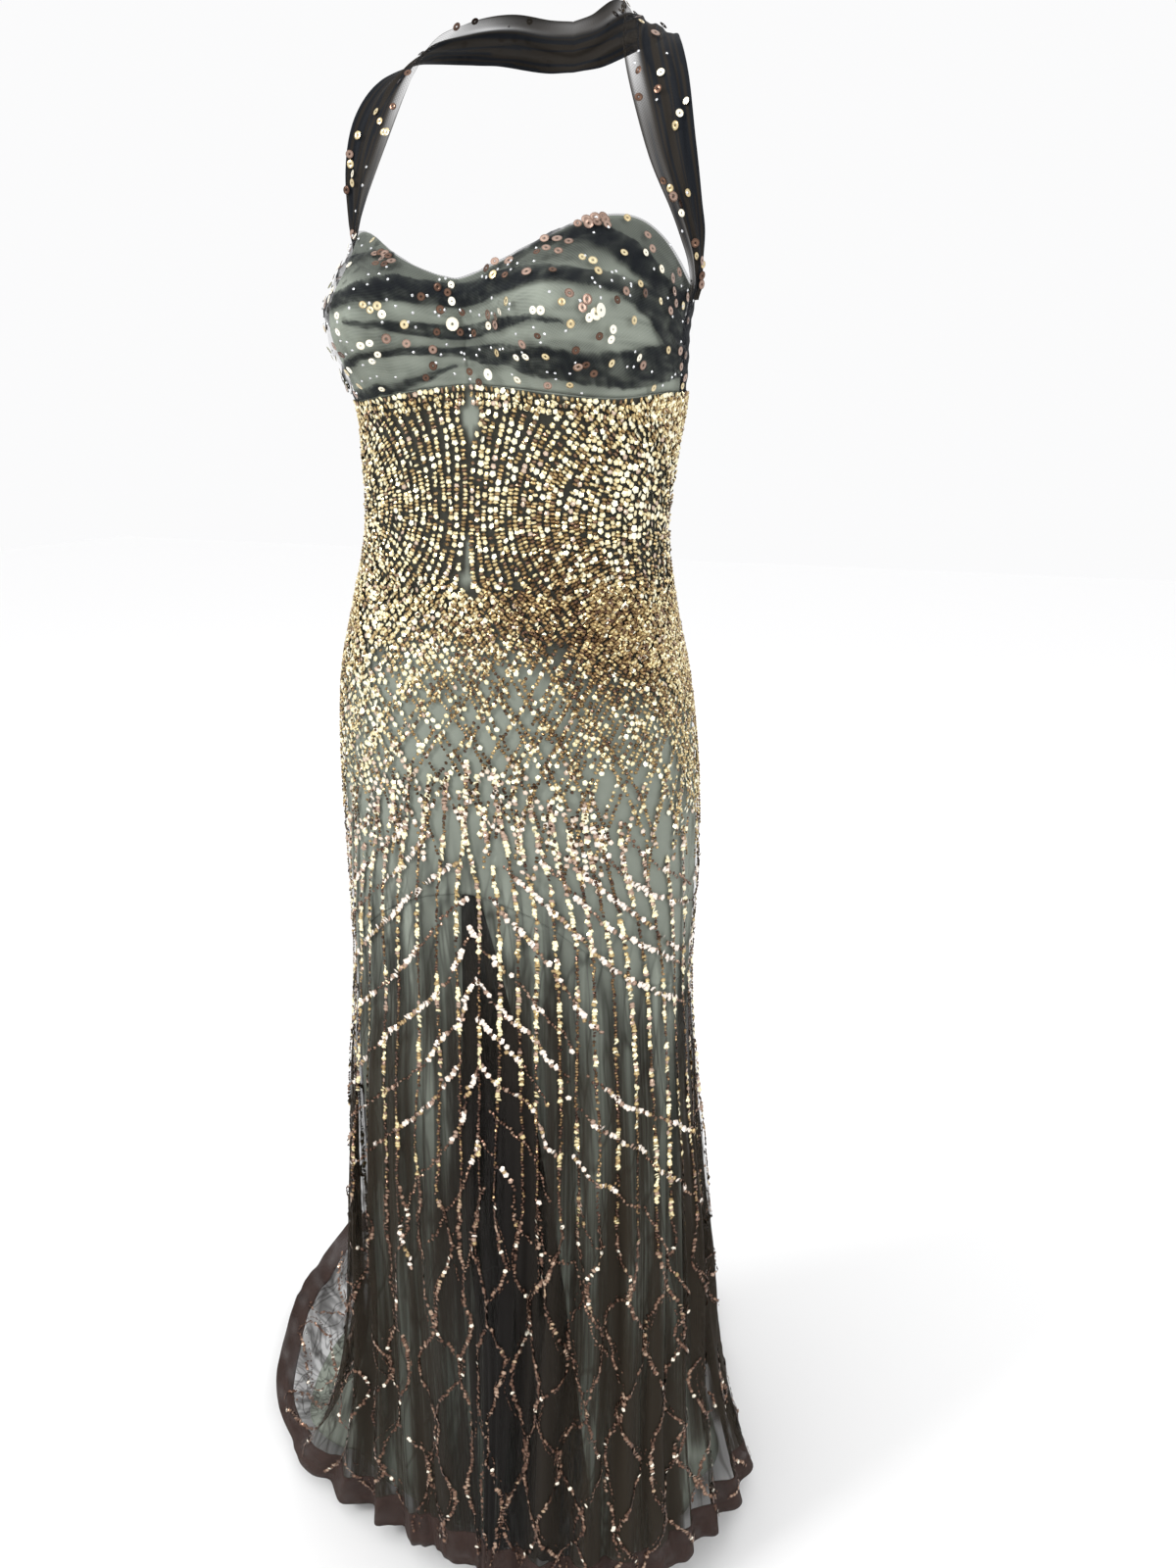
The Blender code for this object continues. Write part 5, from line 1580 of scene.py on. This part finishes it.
class GOWN_OT_bust(bpy.types.Operator):
    """Make the satin cups, the draped net over them and the back of the bodice"""

    bl_idname = "gown.bust"
    bl_label = "Bust and Bodice Back"

    def execute(self, context):
        add_bust(satin(context), dark_net(context))
        return {"FINISHED"}


class GOWN_OT_straps(bpy.types.Operator):
    """Make the two pleated straps of the halter"""

    bl_idname = "gown.straps"
    bl_label = "Straps"

    def execute(self, context):
        add_straps(dark_net(context))
        return {"FINISHED"}


class GOWN_OT_zip(bpy.types.Operator):
    """Finish the zip at the centre back with its teeth and pull"""

    bl_idname = "gown.zip"
    bl_label = "Zip"

    def execute(self, context):
        tape = plain_finish("zip_tape", (0.030, 0.028, 0.026), 0.6, 900.0)
        metal = plain_finish("zip_metal", (0.10, 0.085, 0.06), 0.3, 500.0, 0.9)
        add_zip(tape, metal)
        return {"FINISHED"}


class GOWN_OT_beads(bpy.types.Operator):
    """Sew on the strings of beads and sequins"""

    bl_idname = "gown.beads"
    bl_label = "Bead Strings"

    def execute(self, context):
        add_strings(gold())
        return {"FINISHED"}


class GOWN_OT_paillettes(bpy.types.Operator):
    """Sew on the loose sequins and crystals of the bust and the straps"""

    bl_idname = "gown.paillettes"
    bl_label = "Sequins and Crystals"

    def execute(self, context):
        crystal = plain_finish("crystal", (0.85, 0.86, 0.88), 0.08, 700.0, 0.6)
        add_paillettes(gold(), crystal)
        return {"FINISHED"}


def add_floor(scene):
    """The pale floor, a grid with painted light: it is a little paler away from the gown, where it
    meets the bright surroundings.
    """
    half = scene.gown_sizes.floor
    x, y = grid_of(-half, half, -half, half, FLOOR_CELLS, FLOOR_CELLS)
    places = np.stack([x, y, 0.0 * x - NAPE[2] - FLOOR_DROP], axis=-1).reshape(-1, 3)
    floor = bpy.data.objects.new("studio_floor", bpy.data.meshes.new("studio_floor"))
    floor.data.from_pydata(places.tolist(), [], quads(FLOOR_CELLS, FLOOR_CELLS)[:, ::-1].tolist())
    scene.collection.objects.link(floor)
    add_attribute(floor, "far", ease(np.hypot(x, y), 1.2, 3.5))
    pale = Finish("pale_floor", Roughness=0.8)
    # Painted light: the floor's colour grows paler with distance from the gown.
    pale.set("Base Color", pale.mix(pale.attribute("far"), (0.80, 0.80, 0.80), (0.87, 0.87, 0.87)))
    floor.data.materials.append(pale.material)


def add_view(scene, name, data, place, turn):
    """A light or camera at a place, turned by three angles in degrees."""
    item = bpy.data.objects.new(name, data)
    item.location = place
    item.rotation_euler = [math.radians(angle) for angle in turn]
    scene.collection.objects.link(item)
    return item


def add_lights(scene):
    """The pale surroundings, three soft lights turned to the gown and a wide one from above."""
    world = bpy.data.worlds.new("studio")
    world.use_nodes = True
    surroundings = world.node_tree.nodes["Background"].inputs
    surroundings["Color"].default_value = (0.985, 0.985, 0.99, 1.0)
    surroundings["Strength"].default_value = 0.98
    scene.world = world
    for name, place, watts, size in LIGHTS:
        light = bpy.data.lights.new(name, "AREA")
        light.energy = watts
        light.size = size
        aim = unit(np.array(LIGHT_AIM) - place)
        turn = math.degrees(math.acos(-aim[2])), 0.0, math.degrees(math.atan2(-aim[0], aim[1]))
        add_view(scene, name, light, place, turn)
    sky = bpy.data.lights.new("top", "SUN")
    sky.energy = TOP_LIGHT
    sky.angle = TOP_LIGHT_ANGLE
    add_view(scene, "top", sky, (0.0, 0.0, 0.0), (*TOP_LIGHT_TILT, 0.0))


class GOWN_OT_stage(bpy.types.Operator):
    """Make the pale floor, the soft lights and the camera"""

    bl_idname = "gown.stage"
    bl_label = "Studio"

    def execute(self, context):
        scene = context.scene
        add_floor(scene)
        add_lights(scene)
        camera = bpy.data.cameras.new("camera")
        camera.sensor_width = SENSOR
        camera.lens = LENS_SHARE * SENSOR
        turn = CAMERA_PITCH, 0.0, CAMERA_BEARING
        scene.camera = add_view(scene, "camera", camera, CAMERA_PLACE, turn)
        scene.view_settings.view_transform = "Standard"
        return {"FINISHED"}


STEPS = (
    GOWN_OT_stage, GOWN_OT_linings, GOWN_OT_bust, GOWN_OT_nets, GOWN_OT_straps, GOWN_OT_zip,
    GOWN_OT_beads, GOWN_OT_paillettes,
)


class GOWN_PT_panel(bpy.types.Panel):
    """Lists the steps that make the gown, with its colours and sizes"""

    bl_label = "Beaded Gown"
    bl_idname = "GOWN_PT_panel"
    bl_space_type = "VIEW_3D"
    bl_region_type = "UI"
    bl_category = "Gown"

    def draw(self, context):
        for group in (context.scene.gown_colours, context.scene.gown_sizes):
            for name in group.__annotations__:
                self.layout.prop(group, name)
        for step in STEPS:
            self.layout.operator(step.bl_idname)


CLASSES = (GownColours, GownSizes, *STEPS, GOWN_PT_panel)


def register():
    """Adds the classes and the scene's settings."""
    for each in CLASSES:
        bpy.utils.register_class(each)
    bpy.types.Scene.gown_colours = bpy.props.PointerProperty(type=GownColours)
    bpy.types.Scene.gown_sizes = bpy.props.PointerProperty(type=GownSizes)


def unregister():
    """Takes them away again."""
    del bpy.types.Scene.gown_sizes
    del bpy.types.Scene.gown_colours
    for each in reversed(CLASSES):
        bpy.utils.unregister_class(each)


def main():
    register()
    bpy.ops.gown.stage()
    bpy.ops.gown.linings()
    bpy.ops.gown.bust()
    bpy.ops.gown.nets()
    bpy.ops.gown.straps()
    bpy.ops.gown.zip()
    bpy.ops.gown.beads()
    bpy.ops.gown.paillettes()


if __name__ == "__main__":
    main()
